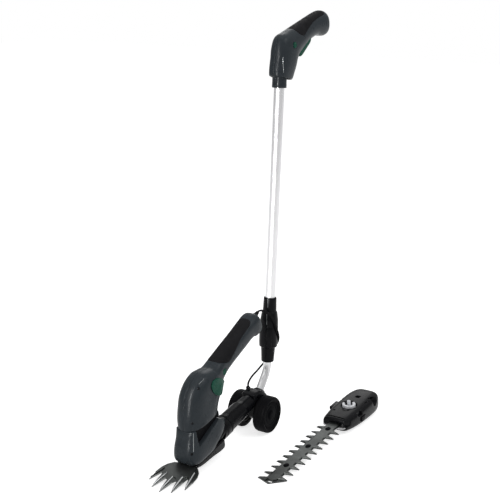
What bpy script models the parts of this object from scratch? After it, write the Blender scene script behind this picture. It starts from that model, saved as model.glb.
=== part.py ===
"""Cordless grass and shrub shears on a wheeled telescopic pole, with a spare hedge blade module.

All dimensions below are millimetres. The build frame has the wheel axle over x = 0, +X toward the
grass blade, +Y the tool's left and z = 0 the floor. Meshes are written in metres.
"""
import math

import bmesh
import bpy
from mathutils import Matrix, Vector

MM = 0.001
GAP = 0.3

# Frames
SHEAR_ORIGIN = (238.1, 0.0, 14.8)
SHEAR_PITCH = 10.0
POLE_FOOT = (-50.0, 0.0, 124.5)
POLE_LEAN = -4.1
HEDGE_ORIGIN = (-63.6, 146.5, 17.7)
HEDGE_PITCH = 3.8
HEDGE_YAW = -0.4

# Shear shells: top point (u, w), bottom point (u, w) and half width of each station, tail first
SHELL_WALL = 2.6
SHEAR_SQUARENESS = 2.7
SHEAR_STATIONS = (
    ((-265.0, 184.0), (-277.0, 149.0), 15.5),
    ((-260.0, 186.5), (-271.5, 142.5), 19.0),
    ((-250.0, 186.5), (-256.0, 140.0), 20.0),
    ((-234.0, 182.5), (-240.0, 143.0), 19.0),
    ((-200.0, 174.0), (-207.0, 135.5), 18.5),
    ((-165.0, 166.0), (-172.0, 128.0), 18.5),
    ((-135.0, 158.5), (-145.0, 121.0), 19.0),
    ((-108.0, 151.0), (-127.0, 112.5), 21.2),
    ((-93.0, 153.0), (-119.0, 102.5), 23.6),
    ((-71.5, 156.0), (-116.0, 95.0), 25.2),
    ((-47.0, 148.0), (-112.5, 89.0), 26.2),
    ((-28.0, 130.0), (-109.0, 85.0), 26.6),
    ((-18.0, 106.5), (-106.0, 81.0), 26.6),
    ((-12.6, 87.0), (-103.5, 76.5), 26.4),
    ((-11.0, 70.0), (-101.4, 70.0), 25.8),
)
SHELL_ARC_STEPS = 8
SOFT_GRIP_DEPTH = 1.5
SOFT_GRIP_PROUD = 0.15
TAIL_WALL = 3.2
SOFT_GRIP_REGION = (
    (-110.0, 192.0), (-113.5, 164.0), (-121.0, 153.5), (-148.0, 140.5), (-190.0, 153.0),
    (-228.0, 165.5), (-239.0, 172.0), (-243.0, 181.0), (-243.0, 200.0),
)

# Gear housing (jaw): height w, front u, rear u and half width of each level
JAW_SQUARENESS = 4.0
JAW_BOTTOM = 4.9
JAW_LEVELS = (
    (JAW_BOTTOM, -8.5, -71.0, 22.5),
    (6.4, -1.5, -76.0, 25.2),
    (13.0, 3.6, -84.0, 26.8),
    (24.0, 5.2, -107.0, 27.0),
    (38.0, 2.4, -116.0, 26.0),
    (54.0, -4.8, -111.0, 24.6),
    (64.0, -8.2, -106.0, 24.4),
    (69.6, -11.2, -102.0, 24.8),
)
WINDOW_CUT = ((-20.0, 75.0), (-19.5, 38.0), (-89.0, 57.0), (-116.0, 37.0), (-119.0, 28.0), (-140.0, 22.0),
              (-140.0, 75.0))
CORE_PROFILE = ((-20.8, 69.6), (-20.4, 39.4), (-88.8, 58.0), (-94.0, 54.1), (-96.6, 60.0), (-95.8, 69.6))
CORE_HALF_WIDTH = 19.5

# Gear train
GEAR_MODULE = 0.75
GEAR_TEETH = 32
PINION_TEETH = 8
GEAR_U = -42.0
GEAR_FLOOR = 60.0
GEAR_THICKNESS = 6.0
GEAR_TIP_CLEARANCE = 1.4
PINION_RAISE = 0.6
MOTOR_SHAFT_RADIUS = 1.2
CRANK_THROW = 3.5
CRANK_PIN_RADIUS = 1.8
SHAFT_RADIUS = 2.4
CRANK_DISC_RADIUS = 6.6
CRANK_DISC_LOW = 5.3
CRANK_DISC_TOP = 6.7
CRANK_DISC_CLEARANCE = 0.6
MOTOR_RADIUS = 14.0
MOTOR_LENGTH = 42.0
MOTOR_BOSS = (4.0, 2.0)
MOUNT_FLOOR = 73.3
MOUNT_THICKNESS = 3.0
SWITCH_LOW = (-97.0, -7.0)
SWITCH_HIGH = (-76.0, 7.0)
SWITCH_HEIGHT = 16.0

# Battery
CELL_RADIUS = 9.15
CELL_LENGTH = 65.0
CELL_CAP = (3.0, 1.2)
CRADLE_HALF_WIDTH = 9.8
CRADLE_DROP = 5.0
CELL_AXIS_START = (-123.0, 138.0)
CELL_AXIS_SLOPE = 13.7

# Shear trigger: an oval patch (u, w) of the body's side that wraps round the rear of the body
TRIGGER_MIDDLE = (-99.0, 119.0)
TRIGGER_LONG_HALF = (25.0, 13.0)
TRIGGER_SHORT_HALF = (-3.0, 17.0)
TRIGGER_PROUD = 1.7
TRIGGER_BED = 0.6
TRIGGER_TRAVEL = 2.1
TRIGGER_REAR = 2.2
LOCK_CENTRE = (-128.5, 133.0)
LOCK_RADIUS = 6.0
LOCK_INNER = 12.4
LOCK_HEIGHT = 8.0
BUTTON_CHAMFER = 0.8

# Charging socket on the tail face
SOCKET_CENTRE = (-268.9, 171.5)
SOCKET_DIRECTION = (-0.957, 0.292)
SOCKET_RADIUS = 6.0
SOCKET_DEPTH = 9.0
SOCKET_FLOOR = 2.0
SOCKET_PROUD = 1.0
PLUG_SPIGOT_RADIUS = 3.4
# Plug body outside the socket: (distance, radius)
PLUG_BODY = ((1.3, 4.2), (1.9, 4.7), (7.6, 4.5), (8.6, 3.4), (17.0, 2.5))

# Receiver ring behind the jaw, adapter sleeve of the carriage
RING_AXIS_W = 9.5
RING_RADIUS = 20.6
RING_FRONT = -108.0
RING_REAR = -131.0
SPIGOT_RADIUS = 14.2
SPIGOT_LENGTH = 18.0
ADAPTER_REAR = -221.7
ADAPTER_FLANGE_RADIUS = 20.4
# Sleeve behind the flange: (distance forward of the rear end, radius)
ADAPTER_SLEEVE = ((34.0, 18.2), (24.0, 16.2), (0.0, 15.6))
ADAPTER_SHOULDER_RADIUS = 18.8

# Grass blade module
COMB_BOTTOM = -1.1
COMB_THICKNESS = 2.0
MOVING_THICKNESS = 1.5
FORK_THICKNESS = 1.3
BLADE_PIVOT_U = -12.0
BLADE_PIVOT_RADIUS = 2.2
GRASS_TOOTH_LENGTH = 31.0
GRASS_TOOTH_ROOT = 6.2
GRASS_TOOTH_TIP = 0.8
BLADE_PIVOT_HEAD = 4.6
FORK_OUTLINE_FRONT = -26.0
FORK_OUTLINE_REAR = -50.0
FORK_SLOT_FRONT = -37.0
FORK_HALF_WIDTH = 8.0
# Tooth tips (u, y) and the angle of each tooth in degrees
GRASS_TIPS = (
    (56.0, -38.8, -10.0), (72.4, -21.0, -5.0), (79.0, 0.0, 0.0), (72.4, 21.0, 5.0), (56.0, 38.8, 10.0),
)
# Blade plates: tip pull-back, tooth root, rear u, rear half, neck half, mouth u, mouth half, shoulder (u, y)
GRASS_COMB = (0.0, GRASS_TOOTH_ROOT, -54.0, 16.0, 19.2, -5.4, 25.5, (7.0, 32.0))
GRASS_MOVING = (4.5, GRASS_TOOTH_ROOT - 0.8, -50.0, 8.0, 16.0, -3.4, 22.5, (9.0, 29.0))
GRASS_HOUSING = (
    (-12.0, 4.6), (-7.6, 1.6), (-6.4, -2.2), (-21.0, -6.5), (-35.0, -8.6), (-58.0, -10.2), (-76.0, -13.0),
    (-84.0, -14.2), (-98.0, -14.2), (-101.6, -10.0), (-101.6, 4.6),
)
GRASS_HOUSING_HALF_WIDTH = 21.8
GRASS_POCKET_REAR = -56.0
GRASS_POCKET_HALF_WIDTH = 19.6
LATCH_FRONT = -81.0
LATCH_REAR = -97.0
LATCH_HALF_WIDTH = 9.0
LATCH_BOTTOM = -17.2
LATCH_TOP = -11.4
PRESS_TRAVEL = 2.0

# Carriage
WHEEL_RADIUS = 36.0
WHEEL_INNER = 16.6
WHEEL_OUTER = 41.8
AXLE_RADIUS = 3.0
RIM_RADIUS = 26.5
HUB_RADIUS = 8.0
RIM_DISH = 7.4
RIM_LIP = 1.7
RIM_INNER_RADIUS = 21.5
CAP_RADIUS = 24.5
CAP_INNER = WHEEL_OUTER - 1.5
BRACKET_HALF_WIDTH = 15.8
BRACKET_PROFILE = (
    (24.0, 79.4), (12.0, 82.4), (0.0, 82.6), (-10.8, 78.6), (-25.2, 65.8), (-25.0, 50.0), (-18.5, 33.0),
    (-8.0, 22.0), (6.0, 21.5), (15.0, 30.0), (18.1, 45.6),
)
SOCKET_MOUTH = (-19.0, 72.1)
SOCKET_BORE_DEPTH = 22.0
TUBE_FOOT_LEAN = -40.8
TUBE_BEND_RADIUS = 50.0
TUBE_BENDS = 5

# Pole
LOWER_TUBE_RADIUS = 8.0
LOWER_TUBE_WALL = 1.0
OUTER_TUBE_RADIUS = 10.0
OUTER_TUBE_WALL = 1.2
LOWER_TUBE_TOP = 480.0
OUTER_TUBE_FOOT = 42.3
OUTER_TUBE_TOP = 577.0
COLLAR_PROFILE = (
    (8.4, 0.0), (11.4, 0.0), (12.6, 1.8), (14.2, 30.5), (17.8, 32.0), (18.5, 40.0), (18.6, 62.0), (17.8, 86.0),
    (16.2, 97.0), (15.2, 103.0), (13.6, 104.5), (12.8, 130.0), (12.0, 132.1), (10.3, 132.1), (10.3, 42.0),
    (8.4, 42.0),
)
TONGUE_AZIMUTH = 30.0
TONGUE_HALF_WIDTH = 6.8
TONGUE_LOW = 32.8
TONGUE_HIGH = 73.0
TONGUE_INNER = 16.0
TONGUE_OUTER = 19.5
TUBE_BUTTON_RADIUS = 2.6
TUBE_BUTTON_FOOT = 5.2
TUBE_BUTTON_HEIGHT = 4.3
GUIDE_BORE_RADIUS = 3.0
GUIDE_SPIGOT_LENGTH = 12.0
GUIDE_HEAD_HEIGHT = 6.0

# Top handle: stations from the grip's end to the neck, front or top point, rear or bottom point
HANDLE_SQUARENESS = 2.5
HANDLE_STATIONS = (
    ((-259.0, 788.5), (-262.5, 760.0), 13.0),
    ((-254.0, 795.5), (-258.0, 753.0), 16.0),
    ((-243.0, 799.5), (-248.5, 750.0), 17.3),
    ((-227.0, 797.5), (-237.0, 750.5), 17.2),
    ((-197.0, 790.0), (-217.0, 752.0), 16.3),
    ((-163.0, 781.0), (-192.0, 745.0), 16.3),
    ((-134.0, 773.0), (-177.0, 738.0), 17.6),
    ((-108.0, 766.0), (-161.0, 729.0), 18.8),
    ((-85.5, 758.5), (-149.0, 721.5), 19.8),
    ((-76.0, 740.0), (-140.5, 712.5), 20.3),
    ((-73.0, 720.0), (-135.5, 702.0), 20.3),
    ((-68.5, 702.0), (-128.5, 688.5), 19.4),
    ((-68.0, 688.0), (-118.5, 675.5), 17.8),
)
NECK_RADIUS = 14.0
NECK_TOP = 561.5
NECK_SWELL = 0.4
NECK_FOOT = 540.5
NECK_WALL = 3.4
HANDLE_WALL = 2.5
HANDLE_GRIP_REGION = (
    (-122.0, 800.0), (-128.0, 769.0), (-139.0, 759.0), (-160.0, 753.5), (-180.0, 764.5), (-206.0, 774.0),
    (-236.0, 781.0), (-247.0, 789.0), (-250.0, 800.0), (-250.0, 815.0),
)
HANDLE_TRIGGER_PROFILE = (
    (-144.0, 717.0), (-148.5, 713.4), (-156.0, 716.5), (-186.0, 738.0), (-189.5, 744.0), (-187.0, 750.0),
    (-181.0, 751.0), (-150.0, 731.5),
)
HANDLE_TRIGGER_HALF_WIDTH = 5.6
HANDLE_TRIGGER_PIVOT = (-185.0, 747.0)
HANDLE_TRIGGER_SWING = 5.0
HANDLE_TRIGGER_CLEARANCE = 1.0
HANDLE_SWITCH_OUTLINE = ((-176.0, 757.0), (-158.0, 746.5), (-152.0, 757.5), (-170.0, 768.0))
HANDLE_LOCK_CENTRE = (-112.0, 742.0)
HANDLE_LOCK_RADIUS = 5.6
HANDLE_LOCK_INNER = 13.0
HANDLE_LOCK_HEIGHT = 8.4

# Lead: route points of its centre line, from the carriage's grommet to the plug on the shear's tail
LEAD_RADIUS = 1.5
LEAD_POINTS = 52
LEAD_ROUTE = (
    (4.6, -11.4, 87.9), (1.8, -12.9, 91.4), (-6.0, -16.4, 93.6), (-20.0, -20.3, 94.0), (-34.0, -21.5, 97.0),
    (-46.0, -21.5, 101.0), (-57.5, -20.5, 106.0), (-67.5, -17.0, 114.0), (-74.0, -8.5, 130.0),
    (-73.8, 3.5, 149.0), (-66.6, 15.0, 166.0), (-56.5, 20.8, 183.0), (-48.0, 21.2, 199.0), (-42.8, 18.8, 213.0),
    (-38.0, 14.4, 225.5), (-31.0, 8.0, 234.0), (-24.0, 2.9, 238.4), (-17.0, 0.6, 239.2),
)
GROMMET_FOOT = (13.0, -7.2, 74.0)
GROMMET_DIRECTION = (-0.5, -0.25, 0.829)
GROMMET_RADIUS = 4.6
GROMMET_NECK = 1.0
# Grommet flange: (distance, radius)
GROMMET_FLANGE = ((13.8, GROMMET_RADIUS), (14.6, GROMMET_RADIUS), (16.0, 2.6))

# Hedge blade module, in its own frame: p along the blade, q across, r up
HEDGE_PITCH_LENGTH = 21.73
HEDGE_RIGHT_FIRST = 24.0
HEDGE_LEFT_FIRST = 31.9
HEDGE_RIGHT_TEETH = 11
HEDGE_LEFT_TEETH = 10
HEDGE_SPINE = 11.0
HEDGE_TIP_REACH = 26.6
HEDGE_MOVING_REACH = 24.4
HEDGE_MOVING_SPINE = 10.0
HEDGE_END = 250.0
HEDGE_PLATE = 2.0
HEDGE_MOVING_PLATE = 1.8
HEDGE_STROKE = 4.5
HEDGE_RIVETS = (28.0, 106.0, 187.0)
HEDGE_RIVET_RADIUS = 2.0
HEDGE_CAM_P = -60.0
HEDGE_CAM_RADIUS = 14.0
HEDGE_CAM_LOW = 8.3
HEDGE_CAM_TOP = 11.0
HEDGE_CAM_RECESS = 16.0
HEDGE_PIN_RADIUS = 1.9
HEDGE_PIN_HOLE = 7.4
HEDGE_POST_RADIUS = 3.6
HEDGE_POST_TOP = 21.8
CRESCENT_OUTER = 12.8
CRESCENT_INNER = 7.6
CRESCENT_TOP = 18.4
CRESCENT_SPAN = (-200.0, 20.0)
HEDGE_SLOT_REAR = -84.0
HEDGE_GUARD_REAR = -82.0
HEDGE_MOVING_REAR = -76.0
YOKE_HALF = (2.2, 7.0)
HEDGE_RIVET_HEAD = 4.4
NOSE_REAR = -15.0
NOSE_HALF_WIDTH = 18.0
NOSE_THICKNESS = 1.8
NOSE_FRONT = ((5.0, -18.0), (9.5, -15.0), (12.0, -8.0), (12.8, 0.0), (12.0, 8.0), (9.5, 15.0), (5.0, 18.0))
HEDGE_STATIONS = (
    (0.0, -9.0, 9.4, 25.0),
    (-4.0, -13.0, 12.4, 27.0),
    (-24.0, -17.0, 14.2, 30.0),
    (-52.0, -20.2, 15.2, 32.4),
    (-86.0, -23.3, 16.0, 32.6),
    (-114.0, -25.2, 16.0, 30.8),
    (-132.0, -25.4, 14.6, 26.5),
    (-143.5, -22.0, 11.6, 18.5),
    (-148.5, -15.0, 6.0, 10.0),
)
HEDGE_BUTTON_P = -58.0
HEDGE_BUTTON_HALF_LENGTH = 8.0
HEDGE_BUTTON_LOW = -9.5
HEDGE_BUTTON_HIGH = 0.5
HEDGE_BUTTON_INNER = 27.0
HEDGE_BUTTON_OUTER = 35.2


def clear_scene():
    """Removes every object of the start-up scene."""
    for obj in list(bpy.data.objects):
        bpy.data.objects.remove(obj, do_unlink=True)


def colour_material(name, colour, metallic=0.0, roughness=0.5):
    """Returns the named Principled material, made on first use."""
    material = bpy.data.materials.get(name)
    if material is None:
        material = bpy.data.materials.new(name)
        material.use_nodes = True
        shader = material.node_tree.nodes["Principled BSDF"]
        shader.inputs["Base Color"].default_value = (*colour, 1.0)
        shader.inputs["Metallic"].default_value = metallic
        shader.inputs["Roughness"].default_value = roughness
        material.diffuse_color = (*colour, 1.0)
    return material


def slate_plastic(name):
    """Grey-blue moulded shell plastic."""
    return colour_material(name, (0.033, 0.041, 0.047), roughness=0.42)


def black_plastic(name):
    """Black moulded plastic."""
    return colour_material(name, (0.012, 0.013, 0.015), roughness=0.4)


def soft_rubber(name):
    """Black soft grip skin or tyre."""
    return colour_material(name, (0.016, 0.016, 0.018), roughness=0.75)


def green_plastic(name):
    """Dark green control plastic."""
    return colour_material(name, (0.006, 0.09, 0.05), roughness=0.4)


def white_plastic(name):
    """White moulded plastic of the follower."""
    return colour_material(name, (0.78, 0.78, 0.8), roughness=0.45)


def blade_steel(name):
    """Ground blade steel."""
    return colour_material(name, (0.28, 0.29, 0.29), metallic=1.0, roughness=0.35)


def satin_aluminium(name):
    """Satin drawn tube aluminium."""
    return colour_material(name, (0.78, 0.79, 0.8), metallic=1.0, roughness=0.3)


def plain_steel(name):
    """Bright steel of shafts, pins and rivets."""
    return colour_material(name, (0.55, 0.56, 0.57), metallic=1.0, roughness=0.3)


def cell_wrap(name):
    """Blue plastic wrap of a battery cell."""
    return colour_material(name, (0.05, 0.12, 0.35), roughness=0.45)


def empty(name, location, rotation=(0.0, 0.0, 0.0), parent=None):
    """Adds an empty that carries a local frame. Location in millimetres, rotation in degrees."""
    obj = bpy.data.objects.new(name, None)
    bpy.context.scene.collection.objects.link(obj)
    obj.location = Vector(location) * MM
    obj.rotation_euler = [math.radians(angle) for angle in rotation]
    obj.parent = parent
    return obj


def mesh_object(name, vertices, faces, parent, material=None, smooth=True):
    """Adds one closed mesh object from millimetre vertices, with its faces turned outward."""
    mesh = bpy.data.meshes.new(name)
    mesh.from_pydata([tuple(value * MM for value in vertex) for vertex in vertices], [], faces)
    work = bmesh.new()
    work.from_mesh(mesh)
    bmesh.ops.recalc_face_normals(work, faces=work.faces)
    if work.calc_volume(signed=True) < 0.0:
        bmesh.ops.reverse_faces(work, faces=work.faces)
    work.to_mesh(mesh)
    work.free()
    for polygon in mesh.polygons:
        polygon.use_smooth = smooth
    obj = bpy.data.objects.new(name, mesh)
    bpy.context.scene.collection.objects.link(obj)
    obj.parent = parent
    if material is None:
        obj.hide_render = True
        obj.display_type = "WIRE"
    else:
        mesh.materials.append(material)
        mesh.set_sharp_from_angle(angle=math.radians(35.0))
    return obj


def move_origin(obj, point):
    """Moves the object's origin to a point of its parent's frame and leaves its shape in place."""
    offset = Vector(point) * MM
    obj.data.transform(Matrix.Translation(-offset))
    obj.location = offset
    return obj


def boolean(obj, tool, operation="DIFFERENCE", solver="EXACT"):
    """Adds a boolean modifier with the hidden tool object."""
    modifier = obj.modifiers.new(tool.name, "BOOLEAN")
    modifier.operation = operation
    modifier.object = tool
    modifier.solver = solver
    return obj


def bevel(obj, width, segments=2, angle=40.0):
    """Rounds the edges sharper than the angle."""
    modifier = obj.modifiers.new("bevel", "BEVEL")
    modifier.width = width * MM
    modifier.segments = segments
    modifier.limit_method = "ANGLE"
    modifier.angle_limit = math.radians(angle)
    return obj


def bridge_rings(count, rings, closed=True):
    """Returns quad faces between consecutive rings of `count` points."""
    faces = []
    steps = count if closed else count - 1
    for ring in range(rings - 1):
        for step in range(steps):
            after = (step + 1) % count
            a = ring * count + step
            b = ring * count + after
            faces.append((a, b, b + count, a + count))
    return faces


def loft(name, rings, parent, material=None, smooth=True):
    """Adds a closed body through rings of equal point count, capped at both ends."""
    count = len(rings[0])
    vertices = [point for ring in rings for point in ring]
    faces = bridge_rings(count, len(rings))
    faces.append(tuple(range(count)))
    faces.append(tuple(range((len(rings) - 1) * count, len(rings) * count)))
    return mesh_object(name, vertices, faces, parent, material, smooth)


def prism(name, outline, low, high, parent, material=None, axis="y", smooth=True):
    """Extrudes a flat outline along one axis from low to high."""
    order = {
        "x": lambda a, b, c: (c, a, b),
        "y": lambda a, b, c: (a, c, b),
        "z": lambda a, b, c: (a, b, c),
    }[axis]
    rings = [[order(a, b, level) for a, b in outline] for level in (low, high)]
    return loft(name, rings, parent, material, smooth)


def box(name, low, high, parent, material=None):
    """Adds a plain box between two corners."""
    outline = ((low[0], low[1]), (high[0], low[1]), (high[0], high[1]), (low[0], high[1]))
    return prism(name, outline, low[2], high[2], parent, material, axis="z", smooth=False)


def circle(centre, radius, axis, side, steps):
    """Returns a circle of points around `centre`, in the plane across `axis`; `side` starts it."""
    along = Vector(axis).normalized()
    first = Vector(side).normalized()
    second = along.cross(first)
    origin = Vector(centre)
    points = []
    for step in range(steps):
        angle = math.tau * step / steps
        points.append(tuple(origin + radius * (math.cos(angle) * first + math.sin(angle) * second)))
    return points


def rod(name, start, direction, profile, parent, material=None, steps=16):
    """Adds a solid round piece: (distance, radius) pairs along a direction from start."""
    along = Vector(direction).normalized()
    side = Vector((0.0, 1.0, 0.0)) if abs(along.y) < 0.9 else Vector((0.0, 0.0, 1.0))
    origin = Vector(start)
    rings = [circle(origin + distance * along, radius, along, side, steps) for distance, radius in profile]
    return loft(name, rings, parent, material)


def turned(name, start, direction, profile, parent, material=None, steps=22):
    """Adds a hollow round piece from a closed loop of (radius, distance) pairs about a direction."""
    along = Vector(direction).normalized()
    side = Vector((0.0, 1.0, 0.0)) if abs(along.y) < 0.9 else Vector((0.0, 0.0, 1.0))
    origin = Vector(start)
    rings = [circle(origin + distance * along, radius, along, side, steps) for radius, distance in profile]
    vertices = [point for ring in rings for point in ring]
    faces = bridge_rings(steps, len(rings))
    last = (len(rings) - 1) * steps
    for step in range(steps):
        after = (step + 1) % steps
        faces.append((last + step, last + after, after, step))
    return mesh_object(name, vertices, faces, parent, material)


def power(value, exponent):
    """Signed power, the base of a superellipse."""
    return math.copysign(abs(value) ** exponent, value)


def station_point(station, grow, turn, squareness):
    """Returns one point of a superellipse ring across a station given by top, bottom and half width."""
    top, bottom, half_width = station
    middle = ((top[0] + bottom[0]) / 2.0, (top[1] + bottom[1]) / 2.0)
    half = ((top[0] - bottom[0]) / 2.0, (top[1] - bottom[1]) / 2.0)
    length = math.hypot(*half)
    scale = (length + grow) / length
    up = power(math.cos(turn), 2.0 / squareness) * scale
    out = power(math.sin(turn), 2.0 / squareness) * (half_width + grow)
    return (middle[0] + up * half[0], out, middle[1] + up * half[1])


def station_ring(station, grow, squareness, steps):
    """Returns the closed ring of a station."""
    return [station_point(station, grow, math.tau * step / steps, squareness) for step in range(steps)]


def half_ring(station, grow, squareness, side):
    """Returns the half ring of a station on one side, from top to bottom, off the split plane."""
    points = []
    for step in range(SHELL_ARC_STEPS + 1):
        x, y, z = station_point(station, grow, math.pi * step / SHELL_ARC_STEPS, squareness)
        points.append((x, side * max(y, GAP / 2.0), z))
    return points


def body_loft(name, stations, grow, squareness, parent, material=None):
    """Adds the closed loft through all stations, grown or shrunk evenly."""
    rings = [station_ring(station, grow, squareness, 2 * SHELL_ARC_STEPS) for station in stations]
    return loft(name, rings, parent, material)


def toward(first, second, distance):
    """Returns the first station moved toward the second by a distance, with the first's width."""
    moved = []
    for one, other in zip(first[:2], second[:2]):
        span = math.dist(one, other)
        share = distance / span
        moved.append((one[0] + (other[0] - one[0]) * share, one[1] + (other[1] - one[1]) * share))
    return (moved[0], moved[1], first[2])


def shell_half(name, outer, inner, parent, material):
    """Adds a shell half from equal lists of outer and inner half rings, closed at the first only."""
    count = len(outer[0])
    rings = len(outer)
    vertices = [point for ring in outer for point in ring] + [point for ring in inner for point in ring]
    inside = rings * count
    faces = bridge_rings(count, rings, closed=False)
    faces += [tuple(index + inside for index in face) for face in bridge_rings(count, rings, closed=False)]
    for ring in range(rings - 1):
        for edge in (0, count - 1):
            a = ring * count + edge
            faces.append((a, a + count, a + count + inside, a + inside))
    faces.append(tuple(range(count)))
    faces.append(tuple(range(inside, inside + count)))
    faces.append((0, count - 1, inside + count - 1, inside))
    last = (rings - 1) * count
    for step in range(count - 1):
        faces.append((last + step, last + step + 1, inside + last + step + 1, inside + last + step))
    return mesh_object(name, vertices, faces, parent, material)


def local_point(point, y=0.0):
    """Turns a profile point (u, w) into a 3-D point at the given y."""
    return (point[0], y, point[1])


def shear_shells(frame):
    """Builds the left and right moulded halves of the grip and motor housing."""
    inner_stations = [toward(SHEAR_STATIONS[0], SHEAR_STATIONS[1], TAIL_WALL)] + list(SHEAR_STATIONS[1:])
    inner_stations[1] = toward(SHEAR_STATIONS[1], SHEAR_STATIONS[2], 1.5)
    recess = prism("grip_recess", SOFT_GRIP_REGION, -40.0, 40.0, frame)
    floor = body_loft("grip_recess_floor", SHEAR_STATIONS, -SOFT_GRIP_DEPTH - GAP, SHEAR_SQUARENESS, frame)
    boolean(recess, floor)
    axis = local_point(SOCKET_DIRECTION)
    socket_hole = rod("socket_hole", local_point(SOCKET_CENTRE), axis,
                      ((-SOCKET_DEPTH, SOCKET_RADIUS + GAP), (4.0, SOCKET_RADIUS + GAP)), frame)
    lock_hole = rod("lock_hole", local_point(LOCK_CENTRE, 8.0), (0.0, 1.0, 0.0),
                    ((0.0, LOCK_RADIUS + GAP), (20.0, LOCK_RADIUS + GAP)), frame)
    for name, side in (("shear_shell_left", 1.0), ("shear_shell_right", -1.0)):
        outer = [half_ring(station, 0.0, SHEAR_SQUARENESS, side) for station in SHEAR_STATIONS]
        inner = [half_ring(station, -SHELL_WALL, SHEAR_SQUARENESS, side) for station in inner_stations]
        shell = shell_half(name, outer, inner, frame, slate_plastic(name))
        boolean(shell, recess)
        boolean(shell, socket_hole)
        if side > 0.0:
            boolean(shell, lock_hole)


def shear_soft_grip(frame):
    """Builds the soft black skin that lies in the recess over the grip's back."""
    name = "shear_soft_grip"
    skin = body_loft(name, SHEAR_STATIONS, SOFT_GRIP_PROUD, SHEAR_SQUARENESS, frame, soft_rubber(name))
    keep = prism("soft_grip_region", grown_outline(SOFT_GRIP_REGION, -2.0 * GAP), -40.0, 40.0, frame)
    floor = body_loft("soft_grip_floor", SHEAR_STATIONS, -SOFT_GRIP_DEPTH, SHEAR_SQUARENESS, frame)
    boolean(skin, keep, "INTERSECT")
    boolean(skin, floor)


def gear_housing(frame):
    """Builds the grey jaw: nose wall and lower beam around the black window."""
    rings = []
    for level, front, rear, half_width in JAW_LEVELS:
        station = ((front, 0.0), (rear, 0.0), half_width)
        ring = station_ring(station, 0.0, JAW_SQUARENESS, 28)
        rings.append([(x, y, level) for x, y, _ in ring])
    jaw = loft("gear_housing", rings, frame, slate_plastic("gear_housing"))
    boolean(jaw, prism("window_cut", WINDOW_CUT, -40.0, 40.0, frame))
    boolean(jaw, rod("ring_cut", (RING_FRONT + GAP, 0.0, RING_AXIS_W), (-1.0, 0.0, 0.0),
                     ((0.0, RING_RADIUS + 2.0 * GAP), (40.0, RING_RADIUS + 2.0 * GAP)), frame, steps=28))
    boolean(jaw, rod("shaft_bore", (GEAR_U, 0.0, 0.0), (0.0, 0.0, 1.0),
                     ((0.0, SHAFT_RADIUS + GAP), (60.0, SHAFT_RADIUS + GAP)), frame))
    boolean(jaw, rod("crank_pocket", (GEAR_U, 0.0, 0.0), (0.0, 0.0, 1.0),
                     ((0.0, CRANK_DISC_RADIUS + CRANK_DISC_CLEARANCE),
                      (CRANK_DISC_TOP + 2.0 * GAP, CRANK_DISC_RADIUS + CRANK_DISC_CLEARANCE)), frame))


def gearbox_core(frame):
    """Builds the black core seen in the side windows; its pocket holds the gears."""
    name = "gearbox_core"
    core = prism(name, CORE_PROFILE, -CORE_HALF_WIDTH, CORE_HALF_WIDTH, frame, black_plastic(name))
    bevel(core, 2.0)
    gear_pocket = GEAR_MODULE * (GEAR_TEETH / 2.0 + 1.0) + GEAR_TIP_CLEARANCE
    pinion_pocket = GEAR_MODULE * (PINION_TEETH / 2.0 + 1.0) + GEAR_TIP_CLEARANCE
    boolean(core, rod("gear_pocket", (GEAR_U, 0.0, GEAR_FLOOR), (0.0, 0.0, 1.0),
                      ((0.0, gear_pocket), (20.0, gear_pocket)), frame, steps=28))
    boolean(core, rod("pinion_pocket", (pinion_u(), 0.0, GEAR_FLOOR + GAP), (0.0, 0.0, 1.0),
                      ((0.0, pinion_pocket), (20.0, pinion_pocket)), frame))
    boolean(core, rod("core_bore", (GEAR_U, 0.0, 40.0), (0.0, 0.0, 1.0),
                      ((0.0, SHAFT_RADIUS + GAP), (30.0, SHAFT_RADIUS + GAP)), frame))


def pinion_u():
    """Returns the motor axis: one centre distance behind the drive gear."""
    return GEAR_U - GEAR_MODULE * (GEAR_TEETH + PINION_TEETH) / 2.0


def gear_outline(teeth, turn):
    """Returns the outline of a spur gear with slim teeth."""
    pitch_radius = GEAR_MODULE * teeth / 2.0
    root = pitch_radius - 1.1 * GEAR_MODULE
    tip = pitch_radius + 0.85 * GEAR_MODULE
    outline = []
    for tooth in range(teeth):
        middle = math.tau * tooth / teeth + turn
        step = math.tau / teeth
        for radius, offset in ((root, -0.27), (tip, -0.1), (tip, 0.1), (root, 0.27)):
            angle = middle + offset * step
            outline.append((radius * math.cos(angle), radius * math.sin(angle)))
    return outline


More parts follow.
